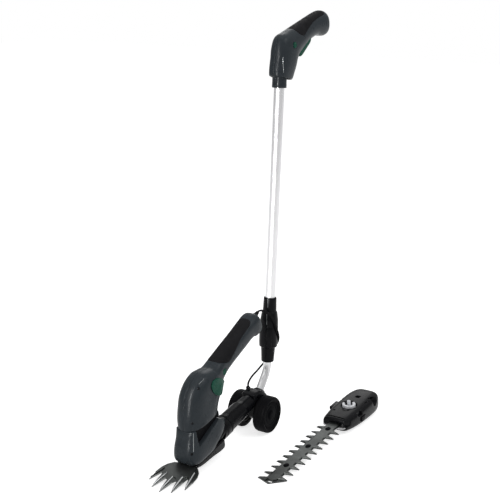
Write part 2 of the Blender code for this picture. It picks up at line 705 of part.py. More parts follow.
def gear_train(frame):
    """Builds the motor, its pinion, the drive gear and the crank shaft."""
    name = "drive_gear"
    gear = prism(name, gear_outline(GEAR_TEETH, 0.0), 0.0, GEAR_THICKNESS, frame, plain_steel(name), axis="z")
    gear.location = Vector((GEAR_U, 0.0, GEAR_FLOOR + GAP)) * MM
    boolean(gear, rod("gear_bore", (GEAR_U, 0.0, GEAR_FLOOR - 4.0), (0.0, 0.0, 1.0),
                      ((0.0, SHAFT_RADIUS + GAP), (20.0, SHAFT_RADIUS + GAP)), frame))
    name = "crank_shaft"
    pin_floor = fork_top() + GAP
    centre = Vector((GEAR_U, 0.0, 0.0))
    pin = centre + Vector((0.0, CRANK_THROW, 0.0))
    up = Vector((0.0, 0.0, 1.0))
    side = Vector((1.0, 0.0, 0.0))
    rings = []
    for base, level, radius in (
        (pin, pin_floor, CRANK_PIN_RADIUS), (pin, CRANK_DISC_LOW, CRANK_PIN_RADIUS),
        (centre, CRANK_DISC_LOW, CRANK_DISC_RADIUS), (centre, CRANK_DISC_TOP, CRANK_DISC_RADIUS),
        (centre, CRANK_DISC_TOP, SHAFT_RADIUS), (centre, GEAR_FLOOR + GEAR_THICKNESS + 1.5, SHAFT_RADIUS),
    ):
        rings.append(circle(base + level * up, radius, up, side, 20))
    shaft = loft(name, rings, frame, plain_steel(name))
    move_origin(shaft, (GEAR_U, 0.0, 0.0))
    name = "motor_pinion"
    pinion_levels = (GEAR_FLOOR + PINION_RAISE, GEAR_FLOOR + GEAR_THICKNESS + PINION_RAISE)
    outline = gear_outline(PINION_TEETH, math.pi / PINION_TEETH)
    pinion = prism(name, outline, pinion_levels[0], pinion_levels[1], frame, plain_steel(name), axis="z")
    shaft_tool = rod("pinion_shaft", (0.0, 0.0, pinion_levels[0] + 1.0), (0.0, 0.0, 1.0),
                     ((0.0, MOTOR_SHAFT_RADIUS),
                      (MOUNT_FLOOR + MOUNT_THICKNESS - pinion_levels[0] - 1.0, MOTOR_SHAFT_RADIUS)), frame,
                     steps=12)
    pinion.location = Vector((pinion_u(), 0.0, 0.0)) * MM
    shaft_tool.location = pinion.location
    boolean(pinion, shaft_tool, "UNION")
    name = "motor_can"
    floor = MOUNT_FLOOR + MOUNT_THICKNESS + GAP
    rod(name, (pinion_u(), 0.0, floor), (0.0, 0.0, 1.0),
        ((0.0, MOTOR_RADIUS - 1.0), (1.0, MOTOR_RADIUS), (MOTOR_LENGTH - MOTOR_BOSS[1] - 1.0, MOTOR_RADIUS),
         (MOTOR_LENGTH - MOTOR_BOSS[1], MOTOR_RADIUS - 1.0), (MOTOR_LENGTH - MOTOR_BOSS[1], MOTOR_BOSS[0]),
         (MOTOR_LENGTH, MOTOR_BOSS[0])),
        frame, plain_steel(name), steps=28)


def shear_inside(name, grow, frame):
    """Adds the hidden loft of the space inside the shear's shells."""
    return body_loft(name, SHEAR_STATIONS, grow, SHEAR_SQUARENESS, frame)


def motor_mount(frame):
    """Builds the plate that carries the motor across the mouth of the shells, and the switch on it."""
    name = "motor_mount"
    outline = ((-112.0, -30.0), (-18.0, -30.0), (-18.0, 30.0), (-112.0, 30.0))
    plate = prism(name, outline, MOUNT_FLOOR, MOUNT_FLOOR + MOUNT_THICKNESS, frame, black_plastic(name),
                  axis="z")
    boolean(plate, shear_inside("mount_space", -SHELL_WALL - GAP, frame), "INTERSECT")
    boolean(plate, rod("mount_bore", (pinion_u(), 0.0, MOUNT_FLOOR - 2.0), (0.0, 0.0, 1.0),
                       ((0.0, MOTOR_BOSS[0]), (10.0, MOTOR_BOSS[0])), frame))
    name = "shear_switch"
    floor = MOUNT_FLOOR + MOUNT_THICKNESS + GAP
    switch = box(name, (*SWITCH_LOW, floor), (*SWITCH_HIGH, floor + SWITCH_HEIGHT), frame, black_plastic(name))
    bevel(switch, 0.8, 1)


def cell_axis(distance):
    """Returns a point on the battery axis, measured back from its front end."""
    slope = math.radians(CELL_AXIS_SLOPE)
    u, w = CELL_AXIS_START
    return (u - distance * math.cos(slope), 0.0, w + distance * math.sin(slope))


def batteries(frame):
    """Builds two cells end to end along the grip and the cradle below them."""
    slope = math.radians(CELL_AXIS_SLOPE)
    back = (-math.cos(slope), 0.0, math.sin(slope))
    rim = CELL_RADIUS - 0.75
    cap_radius, cap_height = CELL_CAP
    profile = ((0.0, cap_radius), (cap_height, cap_radius), (cap_height, rim), (cap_height + 0.7, CELL_RADIUS),
               (CELL_LENGTH - 0.6, CELL_RADIUS), (CELL_LENGTH, rim))
    for name, start in (("battery_cell_front", 1.0), ("battery_cell_rear", 1.0 + CELL_LENGTH + GAP)):
        rod(name, cell_axis(start), back, profile, frame, cell_wrap(name))
    name = "battery_cradle"
    ends = (cell_axis(-1.5), cell_axis(2.0 * CELL_LENGTH + 4.0))
    down = Vector((math.sin(slope), 0.0, math.cos(slope)))
    outline = []
    for end, drop in ((ends[0], CRADLE_DROP), (ends[1], CRADLE_DROP), (ends[1], 30.0), (ends[0], 30.0)):
        point = Vector(end) - drop * down
        outline.append((point.x, point.z))
    cradle = prism(name, outline, -CRADLE_HALF_WIDTH, CRADLE_HALF_WIDTH, frame, black_plastic(name))
    boolean(cradle, shear_inside("cradle_space", -SHELL_WALL - GAP, frame), "INTERSECT")
    boolean(cradle, rod("cradle_trough", cell_axis(-6.0), back,
                        ((0.0, CELL_RADIUS + GAP), (2.0 * CELL_LENGTH + 20.0, CELL_RADIUS + GAP)), frame))


def pushed(station, distance):
    """Returns the station with its bottom point moved away from its top by a distance."""
    top, bottom, half_width = station
    share = (math.dist(top, bottom) + distance) / math.dist(top, bottom)
    return (top, (top[0] + (bottom[0] - top[0]) * share, top[1] + (bottom[1] - top[1]) * share), half_width)


def shear_trigger(frame):
    """Builds the green trigger: an oval patch on each side of the body, joined round its rear."""
    name = "shear_trigger"
    stations = [pushed(station, TRIGGER_REAR) for station in SHEAR_STATIONS]
    trigger = body_loft(name, stations, TRIGGER_PROUD, SHEAR_SQUARENESS, frame, green_plastic(name))
    region = []
    steps = 32
    for step in range(steps):
        turn = math.tau * step / steps
        region.append(tuple(TRIGGER_MIDDLE[axis] + TRIGGER_LONG_HALF[axis] * math.cos(turn)
                            + TRIGGER_SHORT_HALF[axis] * math.sin(turn) for axis in range(2)))
    boolean(trigger, prism("trigger_region", region, -40.0, 40.0, frame), "INTERSECT")
    boolean(trigger, body_loft("trigger_bed", SHEAR_STATIONS, TRIGGER_BED, SHEAR_SQUARENESS, frame))
    travel = body_loft("trigger_travel", SHEAR_STATIONS, 1.5 * GAP, SHEAR_SQUARENESS, frame)
    travel.location = Vector((-TRIGGER_TRAVEL, 0.0, 0.0)) * MM
    boolean(trigger, travel)


def oval(middle, half_height, half_width, squareness, steps):
    """Returns a closed superellipse of (y, w) points."""
    points = []
    for step in range(steps):
        turn = math.tau * step / steps
        points.append((power(math.sin(turn), 2.0 / squareness) * half_width,
                       middle + power(math.cos(turn), 2.0 / squareness) * half_height))
    return points


def shear_lock_button(frame):
    """Builds the green lock button on the left of the grip's root."""
    name = "shear_lock_button"
    rod(name, local_point(LOCK_CENTRE, LOCK_INNER), (0.0, 1.0, 0.0), button_profile(LOCK_RADIUS, LOCK_HEIGHT),
        frame, green_plastic(name))


def button_profile(radius, height):
    """Returns the (distance, radius) profile of a round button with a chamfered top."""
    return ((0.0, radius), (height - BUTTON_CHAMFER, radius), (height, radius - BUTTON_CHAMFER))


def charging_socket(frame):
    """Builds the cup of the charging and lead socket in the tail face."""
    name = "charging_socket"
    bore = PLUG_SPIGOT_RADIUS + GAP
    floor = SOCKET_FLOOR - SOCKET_DEPTH
    profile = ((SOCKET_RADIUS, -SOCKET_DEPTH), (SOCKET_RADIUS, SOCKET_PROUD), (bore, SOCKET_PROUD), (bore, floor),
               (0.4, floor), (0.4, -SOCKET_DEPTH))
    turned(name, local_point(SOCKET_CENTRE), local_point(SOCKET_DIRECTION), profile, frame, black_plastic(name),
           steps=20)


def lead_plug(frame):
    """Builds the moulded plug of the lead, seated in the tail socket."""
    name = "lead_plug"
    spigot_foot = SOCKET_FLOOR - SOCKET_DEPTH + GAP
    rod(name, local_point(SOCKET_CENTRE), local_point(SOCKET_DIRECTION),
        ((spigot_foot, PLUG_SPIGOT_RADIUS), (SOCKET_PROUD + GAP, PLUG_SPIGOT_RADIUS), *PLUG_BODY), frame,
        soft_rubber(name))


def receiver_ring(frame):
    """Builds the black ring behind the jaw that takes the carriage's adapter."""
    name = "receiver_ring"
    rings = []
    low = JAW_LEVELS[0][0] + 0.1
    for u, bottom, top, half_width, squareness in (
        (-80.0, low, 9.4, 17.5, 4.0), (-95.0, low, 17.0, 19.6, 3.4), (RING_FRONT, low, 23.4, 20.0, 3.0),
        (RING_FRONT, RING_AXIS_W - RING_RADIUS, RING_AXIS_W + RING_RADIUS, RING_RADIUS, 2.0),
        (RING_REAR + 2.0, RING_AXIS_W - RING_RADIUS, RING_AXIS_W + RING_RADIUS, RING_RADIUS, 2.0),
        (RING_REAR, RING_AXIS_W - RING_RADIUS + 1.5, RING_AXIS_W + RING_RADIUS - 1.5, RING_RADIUS - 1.5, 2.0),
    ):
        outline = oval((bottom + top) / 2.0, (top - bottom) / 2.0, half_width, squareness, 28)
        rings.append([(u, y, w) for y, w in outline])
    ring = loft(name, rings, frame, black_plastic(name))
    boolean(ring, rod("ring_bore", (RING_REAR - 1.0, 0.0, RING_AXIS_W), (1.0, 0.0, 0.0),
                      ((0.0, SPIGOT_RADIUS + GAP), (SPIGOT_LENGTH + 2.0, SPIGOT_RADIUS + GAP)), frame, steps=28))


def fork_top():
    """Returns the top face of the drive fork on the moving grass blade."""
    return COMB_BOTTOM + COMB_THICKNESS + GAP + MOVING_THICKNESS + GAP + FORK_THICKNESS


def grass_outline(pull_back, root, rear, rear_half, neck_half, mouth, mouth_half, shoulder):
    """Returns the outline of a fan blade with five teeth, its tips drawn back by `pull_back`."""
    outline = [(rear, rear_half), (rear, -rear_half), (mouth - 0.8, -neck_half), (mouth, -mouth_half),
               (shoulder[0], -shoulder[1])]
    last = len(GRASS_TIPS) - 1
    for index, (u, y, fan) in enumerate(GRASS_TIPS):
        along = Vector((math.cos(math.radians(fan)), math.sin(math.radians(fan))))
        across = Vector((-along.y, along.x))
        tip = Vector((u, y)) - pull_back * along
        base = Vector((u, y)) - GRASS_TOOTH_LENGTH * along
        if index > 0:
            outline.append(tuple(base - root * across))
        outline.append(tuple(tip - GRASS_TOOTH_TIP * across))
        outline.append(tuple(tip + GRASS_TOOTH_TIP * across))
        if index < last:
            outline.append(tuple(base + root * across))
            following = GRASS_TIPS[index + 1]
            next_along = Vector((math.cos(math.radians(following[2])), math.sin(math.radians(following[2]))))
            next_across = Vector((-next_along.y, next_along.x))
            next_base = Vector(following[:2]) - GRASS_TOOTH_LENGTH * next_along - root * next_across
            middle = (base + root * across + next_base) / 2.0 - 2.2 * along
            outline.append(tuple(middle))
    outline += [(shoulder[0], shoulder[1]), (mouth, mouth_half), (mouth - 0.8, neck_half)]
    return outline


def grass_module(frame):
    """Builds the removable grass blade module."""
    name = "grass_module_housing"
    housing = prism(name, GRASS_HOUSING, -GRASS_HOUSING_HALF_WIDTH, GRASS_HOUSING_HALF_WIDTH, frame,
                    black_plastic(name))
    bevel(housing, 2.5, 2, 60.0)
    boolean(housing, box("blade_pocket", (GRASS_POCKET_REAR, -GRASS_POCKET_HALF_WIDTH, COMB_BOTTOM - GAP),
                         (10.0, GRASS_POCKET_HALF_WIDTH, 20.0), frame))
    boolean(housing, box("crank_slot", (-120.0, -8.0, fork_top()), (GRASS_POCKET_REAR + 2.0, 8.0, 20.0), frame))
    boolean(housing, box("latch_recess", (LATCH_REAR - GAP, -LATCH_HALF_WIDTH - GAP, -30.0),
                         (LATCH_FRONT + GAP, LATCH_HALF_WIDTH + GAP, LATCH_TOP + PRESS_TRAVEL + GAP), frame))
    name = "grass_comb_blade"
    comb = prism(name, grass_outline(*GRASS_COMB), COMB_BOTTOM, COMB_BOTTOM + COMB_THICKNESS, frame,
                 blade_steel(name), axis="z", smooth=False)
    hole = rod("pivot_hole", (BLADE_PIVOT_U, 0.0, -5.0), (0.0, 0.0, 1.0),
               ((0.0, BLADE_PIVOT_RADIUS + GAP), (15.0, BLADE_PIVOT_RADIUS + GAP)), frame, steps=16)
    boolean(comb, hole)
    moving_floor = COMB_BOTTOM + COMB_THICKNESS + GAP
    name = "grass_moving_blade"
    moving = prism(name, grass_outline(*GRASS_MOVING), moving_floor, moving_floor + MOVING_THICKNESS, frame,
                   blade_steel(name), axis="z", smooth=False)
    boolean(moving, hole)
    move_origin(moving, (BLADE_PIVOT_U, 0.0, 0.0))
    name = "grass_drive_fork"
    slot = CRANK_PIN_RADIUS + GAP
    half = FORK_HALF_WIDTH
    outline = ((FORK_OUTLINE_FRONT, half), (FORK_OUTLINE_FRONT, -half), (FORK_OUTLINE_REAR, -half),
               (FORK_OUTLINE_REAR, -slot), (FORK_SLOT_FRONT, -slot), (FORK_SLOT_FRONT, slot),
               (FORK_OUTLINE_REAR, slot), (FORK_OUTLINE_REAR, half))
    fork = prism(name, outline, fork_top() - FORK_THICKNESS, fork_top(), frame, plain_steel(name), axis="z",
                 smooth=False)
    move_origin(fork, (BLADE_PIVOT_U, 0.0, 0.0))
    name = "grass_blade_pivot"
    head_floor = moving_floor + MOVING_THICKNESS + GAP
    head = head_floor - COMB_BOTTOM
    rod(name, (BLADE_PIVOT_U, 0.0, COMB_BOTTOM), (0.0, 0.0, 1.0),
        ((0.0, BLADE_PIVOT_RADIUS), (head, BLADE_PIVOT_RADIUS), (head, BLADE_PIVOT_HEAD),
         (head + 0.8, BLADE_PIVOT_HEAD), (head + 1.5, BLADE_PIVOT_HEAD - 1.4)), frame, plain_steel(name))
    name = "grass_module_latch"
    latch = box(name, (LATCH_REAR, -LATCH_HALF_WIDTH, LATCH_BOTTOM), (LATCH_FRONT, LATCH_HALF_WIDTH, LATCH_TOP),
                frame, black_plastic(name))
    bevel(latch, 1.2, 2)


def shear_unit(product):
    """Builds everything that is carried by the shear's own frame."""
    frame = empty("shear_frame", SHEAR_ORIGIN, (0.0, SHEAR_PITCH, 0.0), product)
    shear_shells(frame)
    shear_soft_grip(frame)
    gear_housing(frame)
    gearbox_core(frame)
    gear_train(frame)
    motor_mount(frame)
    batteries(frame)
    shear_trigger(frame)
    shear_lock_button(frame)
    charging_socket(frame)
    lead_plug(frame)
    receiver_ring(frame)
    grass_module(frame)
    adapter_sleeve(frame)


def adapter_sleeve(frame):
    """Builds the sleeve of the carriage that plugs into the receiver ring."""
    name = "adapter_sleeve"
    spigot_end = RING_REAR + SPIGOT_LENGTH - GAP
    profile = [(0.0, SPIGOT_RADIUS - 1.0), (1.0, SPIGOT_RADIUS)]
    flange = spigot_end - RING_REAR + GAP
    profile += [(flange, SPIGOT_RADIUS), (flange, ADAPTER_FLANGE_RADIUS - 1.2),
                (flange + 1.2, ADAPTER_FLANGE_RADIUS), (flange + 6.0, ADAPTER_FLANGE_RADIUS),
                (flange + 7.0, ADAPTER_SHOULDER_RADIUS)]
    length = spigot_end - ADAPTER_REAR
    profile += [(length - distance, radius) for distance, radius in ADAPTER_SLEEVE]
    rod(name, (spigot_end, 0.0, RING_AXIS_W), (-1.0, 0.0, 0.0), profile, frame, black_plastic(name), steps=28)


def wheel(side_name, side, product):
    """Builds one wheel: rim with hub, tyre and hub cap, each about the axle."""
    centre = (0.0, 0.0, WHEEL_RADIUS)
    outward = (0.0, side, 0.0)
    name = "wheel_rim_" + side_name
    rim = turned(name, (0.0, 0.0, 0.0), outward, (
        (AXLE_RADIUS + GAP, BRACKET_HALF_WIDTH + GAP), (HUB_RADIUS, BRACKET_HALF_WIDTH + GAP),
        (HUB_RADIUS, WHEEL_INNER + RIM_DISH), (RIM_INNER_RADIUS, WHEEL_INNER + RIM_DISH),
        (RIM_INNER_RADIUS + 1.5, WHEEL_INNER + RIM_LIP), (RIM_RADIUS, WHEEL_INNER + RIM_LIP),
        (RIM_RADIUS, CAP_INNER - GAP), (RIM_INNER_RADIUS + 2.5, CAP_INNER - GAP),
        (RIM_INNER_RADIUS + 1.0, WHEEL_OUTER - RIM_DISH), (HUB_RADIUS, WHEEL_OUTER - RIM_DISH),
        (HUB_RADIUS, CAP_INNER - GAP), (AXLE_RADIUS + GAP, CAP_INNER - GAP)),
        product, black_plastic(name))
    rim.location = Vector(centre) * MM
    name = "tyre_" + side_name
    inner = RIM_RADIUS + GAP
    tyre = turned(name, (0.0, 0.0, 0.0), outward, (
        (inner, WHEEL_INNER), (WHEEL_RADIUS - 3.5, WHEEL_INNER), (WHEEL_RADIUS, WHEEL_INNER + 4.0),
        (WHEEL_RADIUS, WHEEL_OUTER - 4.0), (WHEEL_RADIUS - 1.2, WHEEL_OUTER - 1.2),
        (WHEEL_RADIUS - 4.0, WHEEL_OUTER), (inner, WHEEL_OUTER)), product, soft_rubber(name), steps=32)
    tyre.location = Vector(centre) * MM
    name = "hub_cap_" + side_name
    cap = rod(name, (0.0, 0.0, 0.0), outward, (
        (CAP_INNER, CAP_RADIUS), (CAP_INNER + 0.8, CAP_RADIUS), (CAP_INNER + 1.8, CAP_RADIUS - 2.0),
        (CAP_INNER + 2.1, CAP_RADIUS - 10.5), (CAP_INNER + 2.3, HUB_RADIUS + 1.0)), product,
        black_plastic(name), steps=28)
    cap.location = Vector(centre) * MM


def carriage_bracket(product):
    """Builds the bracket between the wheels, bored for the axle and the tube's foot."""
    name = "carriage_bracket"
    half = BRACKET_HALF_WIDTH
    bracket = prism(name, BRACKET_PROFILE, -half, half, product, black_plastic(name))
    bevel(bracket, 4.5, 3, 50.0)
    lean = math.radians(TUBE_FOOT_LEAN)
    up = (math.sin(lean), 0.0, math.cos(lean))
    bore_foot = Vector(local_point(SOCKET_MOUTH)) - SOCKET_BORE_DEPTH * Vector(up)
    bore = LOWER_TUBE_RADIUS + GAP
    boolean(bracket, rod("tube_bore", bore_foot, up, ((0.0, bore), (50.0, bore)), product, steps=24))
    bore = AXLE_RADIUS + GAP
    boolean(bracket, rod("axle_bore", (0.0, -30.0, WHEEL_RADIUS), (0.0, 1.0, 0.0), ((0.0, bore), (60.0, bore)),
                         product, steps=16))
    neck = GROMMET_RADIUS - GROMMET_NECK
    boolean(bracket, rod("grommet_hole", GROMMET_FOOT, GROMMET_DIRECTION,
                         ((-1.0, neck + GAP), (20.0, neck + GAP)), product))
    name = "axle"
    half = CAP_INNER - 2.0
    rod(name, (0.0, -half, WHEEL_RADIUS), (0.0, 1.0, 0.0),
        ((0.0, AXLE_RADIUS - 0.5), (0.5, AXLE_RADIUS), (2.0 * half - 0.5, AXLE_RADIUS),
         (2.0 * half, AXLE_RADIUS - 0.5)), product, plain_steel(name))
    name = "lead_grommet"
    rod(name, GROMMET_FOOT, GROMMET_DIRECTION,
        ((0.0, neck), (GROMMET_FLANGE[0][0], neck), *GROMMET_FLANGE), product, soft_rubber(name))


def lower_tube_path():
    """Returns the centre line of the lower tube, foot first, with its direction at each point."""
    lean = math.radians(TUBE_FOOT_LEAN)
    pole = math.radians(POLE_LEAN)
    foot_up = Vector((math.sin(lean), 0.0, math.cos(lean)))
    pole_up = Vector((math.sin(pole), 0.0, math.cos(pole)))
    mouth = Vector(local_point(SOCKET_MOUTH))
    base = Vector(POLE_FOOT)
    cross = foot_up.x * pole_up.z - foot_up.z * pole_up.x
    reach = ((base.x - mouth.x) * pole_up.z - (base.z - mouth.z) * pole_up.x) / cross
    corner = mouth + reach * foot_up
    tangent = TUBE_BEND_RADIUS * math.tan((pole - lean) / 2.0)
    start = corner - tangent * foot_up
    points = [(mouth - (SOCKET_BORE_DEPTH - 2.0) * foot_up, foot_up), (start, foot_up)]
    position = start.copy()
    half_bend = (pole - lean) / TUBE_BENDS / 2.0
    chord = 2.0 * TUBE_BEND_RADIUS * math.sin(half_bend)
    for step in range(1, TUBE_BENDS + 1):
        angle = lean + 2.0 * half_bend * step
        middle = angle - half_bend
        position = position + chord * Vector((math.sin(middle), 0.0, math.cos(middle)))
        points.append((position.copy(), Vector((math.sin(angle), 0.0, math.cos(angle)))))
    points.append((base + LOWER_TUBE_TOP * pole_up, pole_up))
    return points


def lower_tube(product):
    """Builds the bent lower tube, its spring button and the guide in its top."""
    name = "lower_tube"
    path = lower_tube_path()
    steps = 20
    side = Vector((0.0, 1.0, 0.0))
    outer = [circle(point, LOWER_TUBE_RADIUS, along, side, steps) for point, along in path]
    inner = [circle(point, LOWER_TUBE_RADIUS - LOWER_TUBE_WALL, along, side, steps) for point, along in path]
    rings = outer + inner[::-1]
    vertices = [point for ring in rings for point in ring]
    faces = bridge_rings(steps, len(rings))
    last = (len(rings) - 1) * steps
    for step in range(steps):
        after = (step + 1) % steps
        faces.append((last + step, last + after, after, step))
    tube = mesh_object(name, vertices, faces, product, satin_aluminium(name))
    point, along = path[4]
    outward = Vector((along.z, 0.0, -along.x))
    start = point + 4.0 * outward
    boolean(tube, rod("button_hole", start, outward,
                      ((0.0, TUBE_BUTTON_RADIUS + GAP), (8.0, TUBE_BUTTON_RADIUS + GAP)), product, steps=16))
    name = "tube_spring_button"
    button = rod(name, point + TUBE_BUTTON_FOOT * outward, outward,
                 ((0.0, TUBE_BUTTON_RADIUS), (TUBE_BUTTON_HEIGHT - 0.9, TUBE_BUTTON_RADIUS),
                  (TUBE_BUTTON_HEIGHT, TUBE_BUTTON_RADIUS - 1.0)), product, plain_steel(name), steps=16)
    move_origin(button, tuple(point))


def collar(frame):
    """Builds the black collar on the foot of the outer tube and its release tongue."""
    name = "pole_collar"
    body = turned(name, (0.0, 0.0, 0.0), (0.0, 0.0, 1.0), COLLAR_PROFILE, frame, black_plastic(name), steps=24)
    turn = math.radians(TONGUE_AZIMUTH)
    out = Vector((math.cos(turn), math.sin(turn)))
    across = Vector((-out.y, out.x))

    def corner(distance, offset):
        return tuple(distance * out + offset * across)

    half = TONGUE_HALF_WIDTH + GAP
    floor = TONGUE_INNER - PRESS_TRAVEL - GAP
    outline = (corner(floor, -half), corner(25.0, -half), corner(25.0, half), corner(floor, half))
    boolean(body, prism("tongue_recess", outline, TONGUE_LOW - GAP, TONGUE_HIGH + GAP, frame, axis="z"))
    name = "collar_release_button"
    edge = TONGUE_OUTER - 1.4
    quarter = TONGUE_HALF_WIDTH / 2.0
    outline = (corner(TONGUE_INNER, -TONGUE_HALF_WIDTH), corner(edge, -TONGUE_HALF_WIDTH),
               corner(TONGUE_OUTER - 0.3, -quarter), corner(TONGUE_OUTER, 0.0),
               corner(TONGUE_OUTER - 0.3, quarter), corner(edge, TONGUE_HALF_WIDTH), corner(TONGUE_INNER, TONGUE_HALF_WIDTH))
    tongue = prism(name, outline, TONGUE_LOW, TONGUE_HIGH, frame, black_plastic(name), axis="z")
    bevel(tongue, 0.8, 1, 60.0)


def outer_tube(frame):
    """Builds the upper aluminium tube and the guide plug in the lower tube's top."""
    name = "outer_tube"
    inner = OUTER_TUBE_RADIUS - OUTER_TUBE_WALL
    turned(name, (0.0, 0.0, 0.0), (0.0, 0.0, 1.0),
           ((inner, OUTER_TUBE_FOOT), (OUTER_TUBE_RADIUS, OUTER_TUBE_FOOT), (OUTER_TUBE_RADIUS, OUTER_TUBE_TOP),
            (inner, OUTER_TUBE_TOP)), frame, satin_aluminium(name), steps=32)
    name = "tube_guide_plug"
    spigot = LOWER_TUBE_RADIUS - LOWER_TUBE_WALL - GAP
    head = inner - GAP
    top = LOWER_TUBE_TOP + GAP
    turned(name, (0.0, 0.0, 0.0), (0.0, 0.0, 1.0),
           ((GUIDE_BORE_RADIUS, top - GUIDE_SPIGOT_LENGTH), (spigot, top - GUIDE_SPIGOT_LENGTH), (spigot, top),
            (head, top), (head, top + GUIDE_HEAD_HEIGHT), (GUIDE_BORE_RADIUS, top + GUIDE_HEAD_HEIGHT)),
           frame, black_plastic(name), steps=24)


def neck_stations():
    """Returns the two round stations of the handle's neck about the outer tube, top first."""
    lean = math.radians(POLE_LEAN)
    up = Vector((math.sin(lean), 0.0, math.cos(lean)))
    front = Vector((up.z, 0.0, -up.x))
    stations = []
    for distance, radius in ((NECK_TOP, NECK_RADIUS + NECK_SWELL), (NECK_FOOT, NECK_RADIUS)):
        centre = Vector(POLE_FOOT) + distance * up
        first = centre + radius * front
        second = centre - radius * front
        stations.append(((first.x, first.z), (second.x, second.z), radius))
    return stations


def handle_shells(product):
    """Builds the left and right halves of the top handle."""
    necks = neck_stations()
    outer_stations = list(HANDLE_STATIONS) + necks
    end = toward(HANDLE_STATIONS[0], HANDLE_STATIONS[1], TAIL_WALL)
    inner_stations = [end] + list(HANDLE_STATIONS[1:]) + necks
    recess = prism("handle_recess", HANDLE_GRIP_REGION, -40.0, 40.0, product)
    depth = SOFT_GRIP_DEPTH + GAP
    floor = body_loft("handle_recess_floor", HANDLE_STATIONS, -depth, HANDLE_SQUARENESS, product)
    boolean(recess, floor)
    slot_half = HANDLE_TRIGGER_HALF_WIDTH + GAP
    pressed = swung(HANDLE_TRIGGER_PROFILE, HANDLE_TRIGGER_PIVOT, HANDLE_TRIGGER_SWING)
    swept = list(HANDLE_TRIGGER_PROFILE[:-1]) + [pressed[-1], pressed[0]]
    slot = prism("handle_trigger_slot", grown_outline(swept, HANDLE_TRIGGER_CLEARANCE), -slot_half, slot_half,
                 product)
    lock_hole = rod("handle_lock_hole", local_point(HANDLE_LOCK_CENTRE, 8.0), (0.0, 1.0, 0.0),
                    ((0.0, HANDLE_LOCK_RADIUS + GAP), (20.0, HANDLE_LOCK_RADIUS + GAP)), product)
    for name, side in (("handle_shell_left", 1.0), ("handle_shell_right", -1.0)):
        outer = []
        inner = []
        for index, station in enumerate(outer_stations):
            neck = index >= len(HANDLE_STATIONS)
            squareness = 2.0 if neck else HANDLE_SQUARENESS
            wall = NECK_WALL if neck else HANDLE_WALL
            outer.append(half_ring(station, 0.0, squareness, side))
            inner.append(half_ring(inner_stations[index], -wall, squareness, side))
        shell = shell_half(name, outer, inner, product, slate_plastic(name))
        boolean(shell, recess)
        boolean(shell, slot)
        if side > 0.0:
            boolean(shell, lock_hole)


def swung(outline, pivot, degrees):
    """Returns the (x, z) outline turned about a pivot, from +X toward +Z."""
    turn = math.radians(degrees)
    points = []
    for x, z in outline:
        across = x - pivot[0]
        up = z - pivot[1]
        points.append((pivot[0] + across * math.cos(turn) - up * math.sin(turn),
                       pivot[1] + across * math.sin(turn) + up * math.cos(turn)))
    return points


def grown_outline(outline, distance):
    """Returns the outline moved away from its centre by a distance."""
    centre_x = sum(x for x, z in outline) / len(outline)
    centre_z = sum(z for x, z in outline) / len(outline)
    grown = []
    for x, z in outline:
        length = math.hypot(x - centre_x, z - centre_z)
        share = (length + distance) / length
        grown.append((centre_x + (x - centre_x) * share, centre_z + (z - centre_z) * share))
    return grown


def handle_fittings(product):
    """Builds the top handle's soft grip, trigger, lock button and switch."""
    name = "handle_soft_grip"
    skin = body_loft(name, HANDLE_STATIONS, SOFT_GRIP_PROUD, HANDLE_SQUARENESS, product, soft_rubber(name))
    keep = prism("handle_grip_region", grown_outline(HANDLE_GRIP_REGION, -2.0 * GAP), -40.0, 40.0, product)
    floor = body_loft("handle_grip_floor", HANDLE_STATIONS, -SOFT_GRIP_DEPTH, HANDLE_SQUARENESS, product)
    boolean(skin, keep, "INTERSECT")
    boolean(skin, floor)
    name = "handle_trigger"
    half = HANDLE_TRIGGER_HALF_WIDTH
    trigger = prism(name, HANDLE_TRIGGER_PROFILE, -half, half, product, green_plastic(name))
    bevel(trigger, 1.2, 2, 60.0)
    move_origin(trigger, local_point(HANDLE_TRIGGER_PIVOT))
    name = "handle_lock_button"
    rod(name, local_point(HANDLE_LOCK_CENTRE, HANDLE_LOCK_INNER), (0.0, 1.0, 0.0),
        button_profile(HANDLE_LOCK_RADIUS, HANDLE_LOCK_HEIGHT), product, green_plastic(name))
    name = "handle_switch"
    switch = prism(name, HANDLE_SWITCH_OUTLINE, -25.0, 25.0, product, black_plastic(name))
    space = body_loft("handle_space", HANDLE_STATIONS, -HANDLE_WALL - GAP, HANDLE_SQUARENESS, product)
    boolean(switch, space, "INTERSECT")


def smooth_route(points, count):
    """Returns `count` points evenly spaced along a smooth curve through the hand-chosen points."""
    route = [Vector(point) for point in points]
    ends = [2.0 * route[0] - route[1]] + route + [2.0 * route[-1] - route[-2]]
    fine = []
    for index in range(1, len(ends) - 2):
        before, start, end, after = ends[index - 1:index + 3]
        for step in range(20):
            t = step / 20.0
            fine.append(0.5 * (2.0 * start + (end - before) * t
                               + (2.0 * before - 5.0 * start + 4.0 * end - after) * t * t
                               + (3.0 * start - before - 3.0 * end + after) * t * t * t))
    fine.append(route[-1].copy())
    lengths = [0.0]
    for one, two in zip(fine, fine[1:]):
        lengths.append(lengths[-1] + (two - one).length)
    spaced = []
    position = 0
    for step in range(count):
        target = lengths[-1] * step / (count - 1)
        while position < len(lengths) - 2 and lengths[position + 1] < target:
            position += 1
        span = lengths[position + 1] - lengths[position]
        share = (target - lengths[position]) / span
        spaced.append(fine[position].lerp(fine[position + 1], share))
    return spaced


